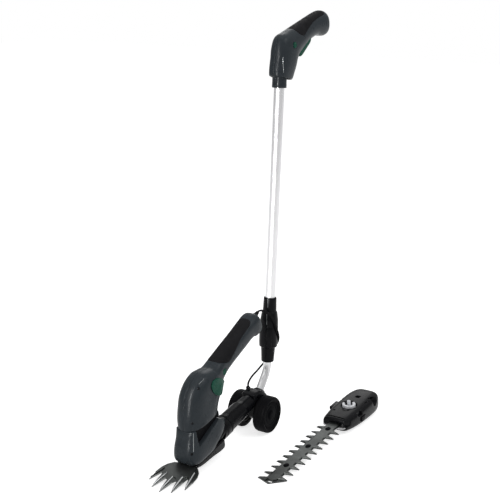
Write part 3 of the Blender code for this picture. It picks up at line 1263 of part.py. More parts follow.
def lead(product):
    """Builds the lead between the carriage's grommet and the plug."""
    name = "lead"
    curve = bpy.data.curves.new(name, "CURVE")
    curve.dimensions = "3D"
    curve.resolution_u = 1
    curve.bevel_depth = LEAD_RADIUS * MM
    curve.bevel_resolution = 2
    curve.use_fill_caps = True
    spline = curve.splines.new("POLY")
    points = smooth_route(LEAD_ROUTE, LEAD_POINTS)
    spline.points.add(len(points) - 1)
    for slot, point in zip(spline.points, points):
        slot.co = (*(point * MM), 1.0)
    spline.use_smooth = True
    obj = bpy.data.objects.new(name, curve)
    bpy.context.scene.collection.objects.link(obj)
    obj.parent = product
    curve.materials.append(soft_rubber(name))


def hedge_outline(rear, front, spine, reach, shift):
    """Returns the outline of a double-sided hedge blade, teeth staggered left and right."""
    right = []
    for tooth in range(HEDGE_RIGHT_TEETH):
        middle = HEDGE_RIGHT_FIRST + HEDGE_PITCH_LENGTH * tooth + shift
        right += [(middle - 7.0, -spine), (middle - 0.8, -reach + 0.5), (middle + 2.4, -reach),
                  (middle + 5.4, -spine)]
    left = []
    for tooth in range(HEDGE_LEFT_TEETH):
        middle = HEDGE_LEFT_FIRST + HEDGE_PITCH_LENGTH * tooth + shift
        left += [(middle - 7.0, spine), (middle - 0.8, reach - 0.5), (middle + 2.4, reach),
                 (middle + 5.4, spine)]
    end = [(front, -spine * 0.6), (front + 2.0, 0.0), (front, spine * 0.6)]
    return [(rear, spine), (rear, -spine)] + right + end + left[::-1]


def hedge_housing(frame):
    """Builds the black housing of the hedge module with its cam recess and blade slot."""
    name = "hedge_module_housing"
    rings = []
    for p, low, high, half_width in HEDGE_STATIONS:
        rings.append([(p, q, r) for q, r in oval((low + high) / 2.0, (high - low) / 2.0, half_width, 3.6, 28)])
    housing = loft(name, rings, frame, black_plastic(name))
    boolean(housing, rod("cam_recess", (HEDGE_CAM_P, 0.0, HEDGE_CAM_LOW - GAP), (0.0, 0.0, 1.0),
                         ((0.0, HEDGE_CAM_RECESS), (12.0, HEDGE_CAM_RECESS)), frame, steps=28))
    slot_top = HEDGE_PLATE / 2.0 + GAP + HEDGE_MOVING_PLATE + 1.2
    boolean(housing, rod("pin_hole", (HEDGE_CAM_P, 0.0, 1.0), (0.0, 0.0, 1.0),
                         ((0.0, HEDGE_PIN_HOLE), (9.0, HEDGE_PIN_HOLE)), frame))
    boolean(housing, box("blade_slot", (HEDGE_SLOT_REAR, -HEDGE_SPINE - 0.6, -HEDGE_PLATE / 2.0 - GAP),
                         (10.0, HEDGE_SPINE + 0.6, slot_top), frame))
    nose_top = -HEDGE_PLATE / 2.0 - GAP
    nose_half = NOSE_HALF_WIDTH + GAP
    boolean(housing, box("nose_slot", (NOSE_REAR - 1.0, -nose_half, nose_top - NOSE_THICKNESS - 0.4),
                         (10.0, nose_half, nose_top + GAP), frame))
    for name, side in (("hedge_button_left", 1.0), ("hedge_button_right", -1.0)):
        ends = sorted((side * HEDGE_BUTTON_INNER, side * HEDGE_BUTTON_OUTER))
        low = (HEDGE_BUTTON_P - HEDGE_BUTTON_HALF_LENGTH, ends[0], HEDGE_BUTTON_LOW)
        high = (HEDGE_BUTTON_P + HEDGE_BUTTON_HALF_LENGTH, ends[1], HEDGE_BUTTON_HIGH)
        bevel(box(name, low, high, frame, black_plastic(name)), 1.4, 2)
        ends = sorted((side * (HEDGE_BUTTON_INNER - PRESS_TRAVEL - GAP), side * 45.0))
        low = (low[0] - GAP, ends[0], low[2] - GAP)
        high = (high[0] + GAP, ends[1], high[2] + GAP)
        boolean(housing, box(name + "_recess", low, high, frame))
    name = "hedge_nose_plate"
    outline = ((NOSE_REAR, NOSE_HALF_WIDTH), (NOSE_REAR, -NOSE_HALF_WIDTH), *NOSE_FRONT)
    prism(name, outline, nose_top - NOSE_THICKNESS, nose_top, frame, plain_steel(name), axis="z", smooth=False)


def hedge_cam(frame):
    """Builds the white cam with its crescent, centre post and eccentric pin."""
    name = "hedge_drive_cam"
    up = Vector((0.0, 0.0, 1.0))
    side = Vector((1.0, 0.0, 0.0))
    centre = Vector((0.0, 0.0, 0.0))
    pin = Vector((HEDGE_STROKE, 0.0, 0.0))
    pin_floor = HEDGE_PLATE / 2.0 + GAP + HEDGE_MOVING_PLATE + GAP
    rings = []
    for base, level, radius in (
        (pin, pin_floor, HEDGE_PIN_RADIUS), (pin, HEDGE_CAM_LOW, HEDGE_PIN_RADIUS),
        (centre, HEDGE_CAM_LOW, HEDGE_CAM_RADIUS), (centre, HEDGE_CAM_TOP, HEDGE_CAM_RADIUS),
        (centre, HEDGE_CAM_TOP, HEDGE_POST_RADIUS),
        (centre, HEDGE_POST_TOP - BUTTON_CHAMFER, HEDGE_POST_RADIUS),
        (centre, HEDGE_POST_TOP, HEDGE_POST_RADIUS - 1.0),
    ):
        rings.append(circle(base + level * up, radius, up, side, 24))
    cam = loft(name, rings, frame, white_plastic(name))
    cam.location = Vector((HEDGE_CAM_P, 0.0, 0.0)) * MM
    outline = []
    steps = 12
    for radius, (first, last) in ((CRESCENT_OUTER, CRESCENT_SPAN), (CRESCENT_INNER, CRESCENT_SPAN[::-1])):
        for step in range(steps + 1):
            angle = math.radians(first + (last - first) * step / steps)
            outline.append((radius * math.cos(angle), radius * math.sin(angle)))
    crescent = prism("cam_crescent", outline, HEDGE_CAM_TOP - 1.0, CRESCENT_TOP, frame, axis="z")
    crescent.location = cam.location
    boolean(cam, crescent, "UNION")


def hedge_blades(frame):
    """Builds the fixed guard blade, the moving blade above it and the three rivets."""
    half = HEDGE_PLATE / 2.0
    moving_floor = half + GAP
    name = "hedge_guard_blade"
    outline = hedge_outline(HEDGE_GUARD_REAR, HEDGE_END, HEDGE_SPINE, HEDGE_TIP_REACH, 0.0)
    guard = prism(name, outline, -half, half, frame, blade_steel(name), axis="z", smooth=False)
    name = "hedge_moving_blade"
    outline = hedge_outline(HEDGE_MOVING_REAR, HEDGE_END - 8.0, HEDGE_MOVING_SPINE, HEDGE_MOVING_REACH, 1.5)
    moving = prism(name, outline, moving_floor, moving_floor + HEDGE_MOVING_PLATE, frame, blade_steel(name),
                   axis="z", smooth=False)
    boolean(moving, box("yoke_slot", (HEDGE_CAM_P - YOKE_HALF[0], -YOKE_HALF[1], 0.0),
                        (HEDGE_CAM_P + YOKE_HALF[0], YOKE_HALF[1], 6.0), frame))
    for number, p in enumerate(HEDGE_RIVETS, 1):
        hole = HEDGE_RIVET_RADIUS + GAP
        boolean(guard, rod(f"rivet_hole_{number}", (p, 0.0, -4.0), (0.0, 0.0, 1.0), ((0.0, hole), (5.5, hole)),
                           frame, steps=16))
        reach = HEDGE_STROKE + GAP
        slot = []
        for middle, first in ((p + reach, -90.0), (p - reach, 90.0)):
            for step in range(7):
                angle = math.radians(first + 30.0 * step)
                slot.append((middle + hole * math.cos(angle), hole * math.sin(angle)))
        boolean(moving, prism(f"rivet_slot_{number}", slot, 1.1, 6.0, frame, axis="z"))
        name = f"hedge_rivet_{number}"
        head = moving_floor + HEDGE_MOVING_PLATE + GAP + half
        rod(name, (p, 0.0, -half), (0.0, 0.0, 1.0),
            ((0.0, HEDGE_RIVET_RADIUS), (head, HEDGE_RIVET_RADIUS), (head, HEDGE_RIVET_HEAD),
             (head + 0.7, HEDGE_RIVET_HEAD), (head + 1.3, HEDGE_RIVET_HEAD - 1.4)), frame, plain_steel(name),
            steps=16)


def hedge_module(product):
    """Builds the spare hedge blade module as it lies on the floor."""
    frame = empty("hedge_frame", HEDGE_ORIGIN, (0.0, HEDGE_PITCH, HEDGE_YAW), product)
    hedge_housing(frame)
    hedge_cam(frame)
    hedge_blades(frame)


def centre_on_floor(product):
    """Moves the product so that its box, without the lead and plug, stands centred on the origin."""
    bpy.context.view_layer.update()
    graph = bpy.context.evaluated_depsgraph_get()
    lows = [math.inf] * 3
    highs = [-math.inf] * 3
    for obj in bpy.context.scene.objects:
        if obj.type != "MESH" or obj.hide_render or obj.name == "lead_plug":
            continue
        evaluated = obj.evaluated_get(graph)
        mesh = evaluated.to_mesh()
        for vertex in mesh.vertices:
            place = evaluated.matrix_world @ vertex.co
            for axis in range(3):
                lows[axis] = min(lows[axis], place[axis])
                highs[axis] = max(highs[axis], place[axis])
        evaluated.to_mesh_clear()
    product.location = (-(lows[0] + highs[0]) / 2.0, -(lows[1] + highs[1]) / 2.0, -lows[2])
    bpy.context.view_layer.update()


def main():
    """Builds the whole product."""
    clear_scene()
    product = empty("product", (0.0, 0.0, 0.0))
    shear_unit(product)
    for side_name, side in (("left", 1.0), ("right", -1.0)):
        wheel(side_name, side, product)
    carriage_bracket(product)
    lower_tube(product)
    pole = empty("pole_frame", POLE_FOOT, (0.0, POLE_LEAN, 0.0), product)
    collar(pole)
    outer_tube(pole)
    handle_shells(product)
    handle_fittings(product)
    lead(product)
    hedge_module(product)
    centre_on_floor(product)


main()
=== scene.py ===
"""Looks of a cordless grass and shrub shears on a wheeled telescopic pole, with its spare hedge blade module.

Local sizes are millimetres, in the frames of the shear, the pole, the hedge module and the carriage. Every
finished piece is a mesh in metres in the row frame, with its object at the origin.
"""
from __future__ import annotations

import logging
import math
from dataclasses import dataclass, field
from enum import Enum
from typing import Callable, Iterable, Sequence

import bmesh
import bpy
from mathutils import Matrix, Vector
from mathutils.bvhtree import BVHTree


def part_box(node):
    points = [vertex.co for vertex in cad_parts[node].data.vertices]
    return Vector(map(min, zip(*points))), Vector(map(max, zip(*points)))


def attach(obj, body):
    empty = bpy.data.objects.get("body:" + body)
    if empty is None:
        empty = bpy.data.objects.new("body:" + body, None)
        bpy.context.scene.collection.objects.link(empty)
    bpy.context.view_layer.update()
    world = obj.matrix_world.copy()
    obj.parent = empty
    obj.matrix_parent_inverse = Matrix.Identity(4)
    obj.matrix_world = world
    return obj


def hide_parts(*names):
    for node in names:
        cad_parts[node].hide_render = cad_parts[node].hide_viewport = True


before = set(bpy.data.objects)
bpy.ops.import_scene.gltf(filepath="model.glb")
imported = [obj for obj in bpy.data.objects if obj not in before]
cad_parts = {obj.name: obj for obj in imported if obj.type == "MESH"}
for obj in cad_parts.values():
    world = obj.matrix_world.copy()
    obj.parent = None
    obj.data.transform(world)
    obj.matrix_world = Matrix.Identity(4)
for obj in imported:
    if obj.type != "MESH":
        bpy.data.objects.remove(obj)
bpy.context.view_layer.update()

MM = 0.001
CLEARANCE = 0.3
LOG = logging.getLogger("shears")

Point = Sequence[float]
Outline = Sequence[tuple[float, float]]
Triple = tuple[float, float, float]
Ring = list[Triple]
Body = bpy.types.Object
Socket = bpy.types.NodeSocket
ZERO = (0.0, 0.0, 0.0)
UP = (0.0, 0.0, 1.0)
LEFTWARD = (0.0, 1.0, 0.0)
FLAT = Matrix.Identity(4)


class Side(Enum):
    """The two hands of the tool."""

    LEFT = 1.0
    RIGHT = -1.0


class Frames:
    """The local frames of the product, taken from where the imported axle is."""

    AXLE_HEIGHT = 36.0
    SHEAR_ORIGIN = (238.1, 0.0, 14.8)
    SHEAR_PITCH = 10.0
    POLE_FOOT = (-50.0, 0.0, 124.5)
    POLE_LEAN = -4.1
    HEDGE_ORIGIN = (-63.6, 146.5, 17.7)
    HEDGE_PITCH = 3.8
    HEDGE_YAW = -0.4

    def __init__(self) -> None:
        """Reads the axle's box and sets the four matrices."""
        low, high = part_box("axle")
        offset = (low + high) / 2.0 - Vector((0.0, 0.0, self.AXLE_HEIGHT * MM))
        self.product = Matrix.Translation(offset) @ Matrix.Scale(MM, 4)
        self.shear = self._placed(self.SHEAR_ORIGIN, self.SHEAR_PITCH, 0.0)
        self.pole = self._placed(self.POLE_FOOT, self.POLE_LEAN, 0.0)
        self.hedge = self._placed(self.HEDGE_ORIGIN, self.HEDGE_PITCH, self.HEDGE_YAW)

    def _placed(self, origin: Point, pitch: float, yaw: float) -> Matrix:
        """Returns the matrix of a frame at an origin, turned by pitch about Y and then yaw about Z."""
        turn = Matrix.Rotation(math.radians(yaw), 4, "Z") @ Matrix.Rotation(math.radians(pitch), 4, "Y")
        return self.product @ Matrix.Translation(Vector(origin)) @ turn


class Wiring:
    """A node tree to which nodes are added with their inputs already joined."""

    def __init__(self, tree: bpy.types.NodeTree) -> None:
        """Takes the tree that it adds to."""
        self.tree = tree

    def add(
            self, kind: str, links: dict[str | int, Socket] | None = None,
            values: dict[str | int, object] | None = None, **settings: object) -> bpy.types.Node:
        """Adds one node.

        Args:
            kind: Blender's name of the node type.
            links: The sockets that feed its inputs.
            values: Plain values of its other inputs.
            settings: Its own properties, which are set first.

        Returns:
            The node.
        """
        node = self.tree.nodes.new(kind)
        for name, value in settings.items():
            setattr(node, name, value)
        for name, value in (values or {}).items():
            node.inputs[name].default_value = value
        for name, source in (links or {}).items():
            self.tree.links.new(source, node.inputs[name])
        return node


class Graph(Wiring):
    """The nodes of one material round its Principled shader."""

    def __init__(self, name: str) -> None:
        """Makes the material.

        Args:
            name: The material's name.
        """
        self.material = bpy.data.materials.new(name)
        self.material.use_nodes = True
        super().__init__(self.material.node_tree)
        self.shader = self.tree.nodes["Principled BSDF"]
        self.place = self.add("ShaderNodeTexCoord").outputs["Object"]

    def stretched(self, scale: Point, turn: Point = ZERO) -> Socket:
        """Returns the object's own coordinates, turned in degrees and then stretched."""
        values = {"Rotation": [math.radians(angle) for angle in turn], "Scale": scale}
        return self.add(
            "ShaderNodeMapping", {"Vector": self.place}, values, vector_type="TEXTURE").outputs["Vector"]

    def noise(self, scale: float, detail: float = 2.0, source: Socket | None = None) -> Socket:
        """Returns a noise value between 0 and 1."""
        values = {"Scale": scale, "Detail": detail}
        return self.add("ShaderNodeTexNoise", {"Vector": source or self.place}, values).outputs["Fac"]

    def cells(self, scale: float) -> Socket:
        """Returns the distance value of a cell pattern."""
        return self.add("ShaderNodeTexVoronoi", {"Vector": self.place}, {"Scale": scale}).outputs["Distance"]

    def span(self, value: Socket, low: float, high: float) -> Socket:
        """Returns the value mapped from the middle range of a noise to low and high."""
        values = {"From Min": 0.3, "From Max": 0.7, "To Min": low, "To Max": high}
        return self.add("ShaderNodeMapRange", {"Value": value}, values).outputs["Result"]

    def bump(self, height: Socket, distance: float, strength: float, under: Socket | None = None) -> Socket:
        """Returns a bumped normal, over another one if given. Distance in metres."""
        links = {"Height": height} if under is None else {"Height": height, "Normal": under}
        return self.add(
            "ShaderNodeBump", links, {"Distance": distance, "Strength": strength}).outputs["Normal"]

    def set(self, **values: float | Point) -> None:
        """Sets plain values on the shader, by socket name with underscores for spaces."""
        for name, value in values.items():
            self.shader.inputs[name.replace("_", " ")].default_value = value

    def feed(self, name: str, source: Socket) -> None:
        """Joins a value to a socket of the shader."""
        self.tree.links.new(source, self.shader.inputs[name])

    def clouded(self, colour: Point, scale: float, detail: float, low: float, high: float) -> None:
        """Feeds the base colour with soft clouds.

        Args:
            colour: The middle colour.
            scale: How many clouds there are in a metre.
            detail: How fine their edges are.
            low: The colour's factor where it is darkest.
            high: The colour's factor where it is lightest.
        """
        cloud = self.span(self.noise(scale, detail), 0.0, 1.0)
        dark, light = ([min(channel * factor, 1.0) for channel in colour] + [1.0] for factor in (low, high))
        mixed = self.add("ShaderNodeMix", {"Factor": cloud}, {"A": dark, "B": light}, data_type="RGBA")
        self.feed("Base Color", mixed.outputs["Result"])


class Coat:
    """A finish that wires a material of its own for each piece."""

    def wire(self, graph: Graph) -> None:
        """Wires the finish into the nodes of a material."""
        raise NotImplementedError

    def make(self, name: str) -> bpy.types.Material:
        """Makes the material of one piece.

        Args:
            name: The material's name.

        Returns:
            The material.
        """
        graph = Graph(name)
        self.wire(graph)
        return graph.material


@dataclass(frozen=True)
class MouldedPlastic(Coat):
    """Injection-moulded plastic with a spark-eroded grain."""

    colour: Triple
    roughness: float = 0.42
    grain: float = 1500.0
    depth: float = 0.00006
    drift: float = 0.05
    gloss: float = 0.3

    def wire(self, graph: Graph) -> None:
        """Wires the fine grain over a slow swell.

        Args:
            graph: The nodes of the material.
        """
        graph.clouded(self.colour, 22.0, 3.0, 1.0 - self.drift, 1.0 + self.drift)
        graph.feed(
            "Roughness", graph.span(graph.noise(60.0, 4.0), self.roughness - 0.05, self.roughness + 0.06))
        swell = graph.bump(graph.noise(45.0, 1.0), 0.00025, 0.12)
        graph.feed("Normal", graph.bump(graph.noise(self.grain, 1.0), self.depth, 0.35, swell))
        graph.set(Specular_IOR_Level=self.gloss)


@dataclass(frozen=True)
class SoftSkin(Coat):
    """Over-moulded rubber with a fine pebble."""

    colour: Triple = (0.0085, 0.0085, 0.0098)
    pebble: float = 620.0

    def wire(self, graph: Graph) -> None:
        """Wires the pebble.

        Args:
            graph: The nodes of the material.
        """
        graph.clouded(self.colour, 30.0, 3.0, 0.85, 1.25)
        graph.feed("Roughness", graph.span(graph.noise(90.0, 3.0), 0.6, 0.74))
        graph.feed("Normal", graph.bump(graph.cells(self.pebble), 0.00018, 0.5))
        graph.set(Specular_IOR_Level=0.08)


@dataclass(frozen=True)
class TyreRubber(Coat):
    """Dark moulded tyre rubber, its tone clouded at random."""

    colour: Triple = (0.0046, 0.0046, 0.0056)

    def wire(self, graph: Graph) -> None:
        """Wires a slow swell over the fine grain.

        Args:
            graph: The nodes of the material.
        """
        graph.clouded(self.colour, 38.0, 5.0, 0.8, 1.35)
        graph.feed("Roughness", graph.span(graph.noise(140.0, 4.0), 0.48, 0.66))
        fine = graph.bump(graph.noise(900.0, 2.0), 0.00008, 0.4)
        graph.feed("Normal", graph.bump(graph.noise(70.0, 1.0), 0.0003, 0.15, fine))
        graph.set(Specular_IOR_Level=0.04)


@dataclass(frozen=True)
class GroundSteel(Coat):
    """Blade steel with the lines of the grinding wheel."""

    colour: Triple = (0.2, 0.205, 0.205)
    roughness: float = 0.4
    turn: float = 0.0
    lines: float = 2200.0

    def wire(self, graph: Graph) -> None:
        """Wires the grinding lines along the turned X axis.

        Args:
            graph: The nodes of the material.
        """
        graph.clouded(self.colour, 34.0, 5.0, 0.78, 1.22)
        scratch = graph.noise(self.lines, 3.0, graph.stretched((30.0, 1.0, 1.0), (0.0, 0.0, self.turn)))
        graph.feed("Roughness", graph.span(scratch, self.roughness - 0.09, self.roughness + 0.11))
        graph.feed("Normal", graph.bump(scratch, 0.00003, 0.4))
        graph.set(Metallic=1.0)


@dataclass(frozen=True)
class DrawnTube(Coat):
    """Satin aluminium tube with fine drawing lines along it."""

    colour: Triple = (0.68, 0.68, 0.69)
    roughness: float = 0.32

    def wire(self, graph: Graph) -> None:
        """Wires the drawing lines along the pole.

        Args:
            graph: The nodes of the material.
        """
        graph.clouded(self.colour, 9.0, 3.0, 0.95, 1.04)
        drawn = graph.noise(1300.0, 2.0, graph.stretched((1.0, 1.0, 60.0), (0.0, Frames.POLE_LEAN, 0.0)))
        graph.feed("Roughness", graph.span(drawn, self.roughness - 0.05, self.roughness + 0.07))
        graph.feed("Normal", graph.bump(drawn, 0.00002, 0.3))
        graph.set(Metallic=1.0)


@dataclass(frozen=True)
class TurnedSteel(Coat):
    """Bright turned or pressed steel of screws, pins and shafts."""

    colour: Triple = (0.5, 0.5, 0.51)
    roughness: float = 0.28

    def wire(self, graph: Graph) -> None:
        """Wires an even, fine wear.

        Args:
            graph: The nodes of the material.
        """
        graph.clouded(self.colour, 160.0, 4.0, 0.85, 1.1)
        graph.feed(
            "Roughness", graph.span(graph.noise(420.0, 3.0), self.roughness - 0.06, self.roughness + 0.1))
        graph.feed("Normal", graph.bump(graph.noise(1600.0, 2.0), 0.00002, 0.3))
        graph.set(Metallic=1.0)


@dataclass(frozen=True)
class ShrinkWrap(Coat):
    """Glossy wrap of a battery cell."""

    colour: Triple = (0.05, 0.12, 0.35)

    def wire(self, graph: Graph) -> None:
        """Wires the wrinkles of the film.

        Args:
            graph: The nodes of the material.
        """
        graph.clouded(self.colour, 240.0, 3.0, 0.9, 1.1)
        graph.feed("Roughness", graph.span(graph.noise(90.0, 2.0), 0.22, 0.34))
        graph.feed("Normal", graph.bump(graph.noise(240.0, 3.0), 0.0001, 0.3))
        graph.set(Coat_Weight=0.3)


class Finish(Enum):
    """The finishes of this tool, each made afresh for the piece that wears it."""

    SLATE = MouldedPlastic((0.0335, 0.041, 0.0475), roughness=0.3, depth=0.00004, gloss=0.1)
    BLACK = MouldedPlastic((0.0052, 0.0055, 0.0068), roughness=0.26, depth=0.00003, gloss=0.08)
    BLACK_FINE = MouldedPlastic((0.006, 0.0063, 0.0078), roughness=0.24, depth=0.00002, gloss=0.08)
    DEEP = MouldedPlastic((0.0038, 0.004, 0.005), roughness=0.5, depth=0.00004, gloss=0.02)
    # Light grey of the raised lines: a painted highlight, much lighter than the plastics that they sit on.
    GLINT = MouldedPlastic((0.3, 0.32, 0.33), roughness=0.14, depth=0.00001, gloss=0.7)
    GREEN = MouldedPlastic((0.003, 0.072, 0.043), roughness=0.3, depth=0.00004, gloss=0.08)
    WHITE = MouldedPlastic((0.72, 0.73, 0.76), roughness=0.38, depth=0.00004, drift=0.02)
    SKIN = SoftSkin()
    CORD = SoftSkin((0.007, 0.007, 0.008), 1400.0)
    TYRE = TyreRubber()
    BLADE = GroundSteel((0.085, 0.09, 0.088))
    HEDGE_BLADE = GroundSteel((0.062, 0.066, 0.064), 0.4, 90.0)
    EDGE = GroundSteel((0.56, 0.57, 0.575), 0.3, 60.0)
    COMB_EDGE = GroundSteel((0.1, 0.104, 0.102), 0.36, 60.0)
    HEDGE_EDGE = GroundSteel((0.055, 0.058, 0.056), 0.4, 90.0)
    TUBE = DrawnTube()
    STEEL = TurnedSteel()
    DARK_STEEL = TurnedSteel((0.022, 0.022, 0.024), 0.42)
    WRAP = ShrinkWrap()

    def on(self, name: str) -> bpy.types.Material:
        """Returns this finish as a new material for the named piece."""
        return self.value.make(name + "_finish")


def round_ring(middle: Vector, radius: float, first: Vector, second: Vector, steps: int) -> Ring:
    """Returns a ring about a middle in the plane of two directions."""
    turns = [math.tau * step / steps for step in range(steps)]
    return [tuple(middle + radius * (math.cos(turn) * first + math.sin(turn) * second)) for turn in turns]


class Bench:
    """The steps by which meshes are made, cut, placed and put on their bodies."""

    def __init__(self) -> None:
        """Starts with no finished piece."""
        self.pieces: list[Body] = []

    def raw(
            self, name: str, vertices: Iterable[Point], faces: Sequence[Sequence[int]],
            matrix: Matrix) -> Body:
        """Makes a mesh object from local millimetre points, its faces turned outward.

        Args:
            name: The object's name.
            vertices: Points in the local frame.
            faces: Corner lists into the points.
            matrix: The local frame, which also turns millimetres into metres.

        Returns:
            The object, at the origin, with its place in its mesh.
        """
        mesh = bpy.data.meshes.new(name)
        mesh.from_pydata([tuple(matrix @ Vector(point)) for point in vertices], [], faces)
        work = bmesh.new()
        work.from_mesh(mesh)
        bmesh.ops.remove_doubles(work, verts=work.verts, dist=1e-6)
        bmesh.ops.recalc_face_normals(work, faces=work.faces)
        if work.calc_volume(signed=True) < 0.0:
            bmesh.ops.reverse_faces(work, faces=work.faces)
        work.to_mesh(mesh)
        work.free()
        obj = bpy.data.objects.new(name, mesh)
        bpy.context.scene.collection.objects.link(obj)
        return obj

    def loft(self, name: str, rings: Sequence[Ring], matrix: Matrix, closed: bool = False) -> Body:
        """Makes a body through rings of equal count, capped at its ends or closed on itself.

        Args:
            name: The object's name.
            rings: The rings, in order.
            matrix: The local frame.
            closed: Whether the last ring joins the first.

        Returns:
            The object.
        """
        count = len(rings[0])
        spans = len(rings) if closed else len(rings) - 1
        faces = []
        for ring in range(spans):
            start = ring * count
            after = ((ring + 1) % len(rings)) * count
            for step in range(count):
                other = (step + 1) % count
                faces.append((start + step, start + other, after + other, after + step))
        if not closed:
            faces.append(tuple(range(count)))
            faces.append(tuple(range((len(rings) - 1) * count, len(rings) * count)))
        return self.raw(name, [point for ring in rings for point in ring], faces, matrix)

    def slab(
            self, name: str, outline: Outline, low: float, high: float, matrix: Matrix,
            axis: str = "y") -> Body:
        """Makes a plate from an outline, from low to high along one local axis.

        Args:
            name: The object's name.
            outline: The outline across the axis.
            low: Where it starts.
            high: Where it ends.
            matrix: The local frame.
            axis: The axis, by its letter.

        Returns:
            The object.
        """
        order: dict[str, Callable[[float, float, float], Triple]] = {
            "x": lambda a, b, c: (c, a, b), "y": lambda a, b, c: (a, c, b), "z": lambda a, b, c: (a, b, c)}
        rings = [[order[axis](a, b, level) for a, b in outline] for level in (low, high)]
        return self.loft(name, rings, matrix)

    def turned(
            self, name: str, centre: Point, axis: Point, profile: Outline, matrix: Matrix, steps: int = 64,
            hollow: bool = False) -> Body:
        """Makes a round body about an axis.

        Args:
            name: The object's name.
            centre: Where distances start.
            axis: Which way they go.
            profile: Its (radius, distance) pairs.
            matrix: The local frame.
            steps: Points of one ring.
            hollow: Whether the profile is a closed loop.

        Returns:
            The object.
        """
        along = Vector(axis).normalized()
        first = along.orthogonal().normalized()
        second = along.cross(first)
        rings = [
            round_ring(Vector(centre) + distance * along, radius, first, second, steps)
            for radius, distance in profile]
        return self.loft(name, rings, matrix, closed=hollow)

    def block(self, name: str, low: Point, high: Point, matrix: Matrix) -> Body:
        """Makes a plain box between two local corners, used for cutting or to be rounded later."""
        outline = ((low[0], low[1]), (high[0], low[1]), (high[0], high[1]), (low[0], high[1]))
        return self.slab(name, outline, low[2], high[2], matrix, "z")

    def cut(self, piece: Body, tools: Sequence[tuple[str, Body]]) -> Body:
        """Cuts or joins hidden tools into a piece and removes them.

        Args:
            piece: The object to change.
            tools: Pairs of the boolean operation and its object.

        Returns:
            The piece with its mesh replaced.
        """
        for operation, tool in tools:
            modifier = piece.modifiers.new("cut", "BOOLEAN")
            modifier.operation = operation
            modifier.object = tool
            modifier.solver = "EXACT"
        self.settle(piece)
        for tool in {tool for _, tool in tools}:
            bpy.data.objects.remove(tool)
        return piece

    def carve(self, piece: Body, *tools: Body) -> Body:
        """Cuts all the tools out of a piece."""
        return self.cut(piece, [("DIFFERENCE", tool) for tool in tools])

    def bore(
            self, foot: Point, axis: Point, radius: float, length: float, matrix: Matrix,
            steps: int = 40) -> Body:
        """Makes a round cutter of a length from a foot along an axis."""
        return self.turned("bore", foot, axis, ((radius, 0.0), (radius, length)), matrix, steps)

    def rounded(self, piece: Body, width: float, segments: int = 3, angle: float = 35.0) -> Body:
        """Rounds the sharp edges of a piece by a width in millimetres.

        Args:
            piece: The object to change.
            width: The width of the rounding.
            segments: How many faces it has.
            angle: Edges sharper than this are rounded.

        Returns:
            The piece.
        """
        modifier = piece.modifiers.new("rounding", "BEVEL")
        modifier.width = width * MM
        modifier.segments = segments
        modifier.limit_method = "ANGLE"
        modifier.angle_limit = math.radians(angle)
        modifier.use_clamp_overlap = False
        self.settle(piece)
        return piece

    def settle(self, piece: Body) -> None:
        """Turns a piece's modifiers into its plain mesh.

        Args:
            piece: The object to change.
        """
        bpy.context.view_layer.update()
        graph = bpy.context.evaluated_depsgraph_get()
        mesh = bpy.data.meshes.new_from_object(piece.evaluated_get(graph))
        piece.modifiers.clear()
        old = piece.data
        piece.data = mesh
        bpy.data.meshes.remove(old)

    def finish(
            self, piece: Body, finish: Finish, body: str, replaces: Sequence[str] = (),
            slot: str | None = None, angle: float = 38.0) -> Body:
        """Gives a piece its finish, smooth shading and body.

        Args:
            piece: The finished mesh object.
            finish: What it is made of.
            body: The body that it rides on.
            replaces: CAD nodes that it stands for.
            slot: Not used.
            angle: Edges sharper than this many degrees stay sharp.

        Returns:
            The piece.
        """
        piece.data.materials.clear()
        piece.data.materials.append(finish.on(piece.name))
        return self.seat(piece, body, replaces, slot, angle)

    def cleaned(self, piece: Body) -> None:
        """Takes the faces without area out of a cut plate.

        Args:
            piece: The object to change.
        """
        mesh = bmesh.new()
        mesh.from_mesh(piece.data)
        bmesh.ops.dissolve_degenerate(mesh, dist=0.02 * MM, edges=mesh.edges)
        mesh.to_mesh(piece.data)
        mesh.free()

    def seat(
            self, piece: Body, body: str, replaces: Sequence[str] = (), slot: str | None = None,
            angle: float = 38.0) -> Body:
        """Shades a piece that already has its materials and puts it on its body.

        Args:
            piece: The object with its materials.
            body: The body that it rides on.
            replaces: CAD nodes that it stands for.
            slot: Not used.
            angle: Edges sharper than this many degrees stay sharp.

        Returns:
            The piece.
        """
        for polygon in piece.data.polygons:
            polygon.use_smooth = True
        piece.data.set_sharp_from_angle(angle=math.radians(angle))
        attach(piece, body)
        if replaces:
            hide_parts(*replaces)
        self.pieces.append(piece)
        return piece

    def dress(self, node: str, finish: Finish) -> None:
        """Gives a CAD node that stays in view its finish.

        Args:
            node: The node's name.
            finish: What it is made of.
        """
        material = finish.on(node)
        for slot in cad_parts[node].material_slots:
            slot.material = material


BENCH = Bench()
FRAMES = Frames()


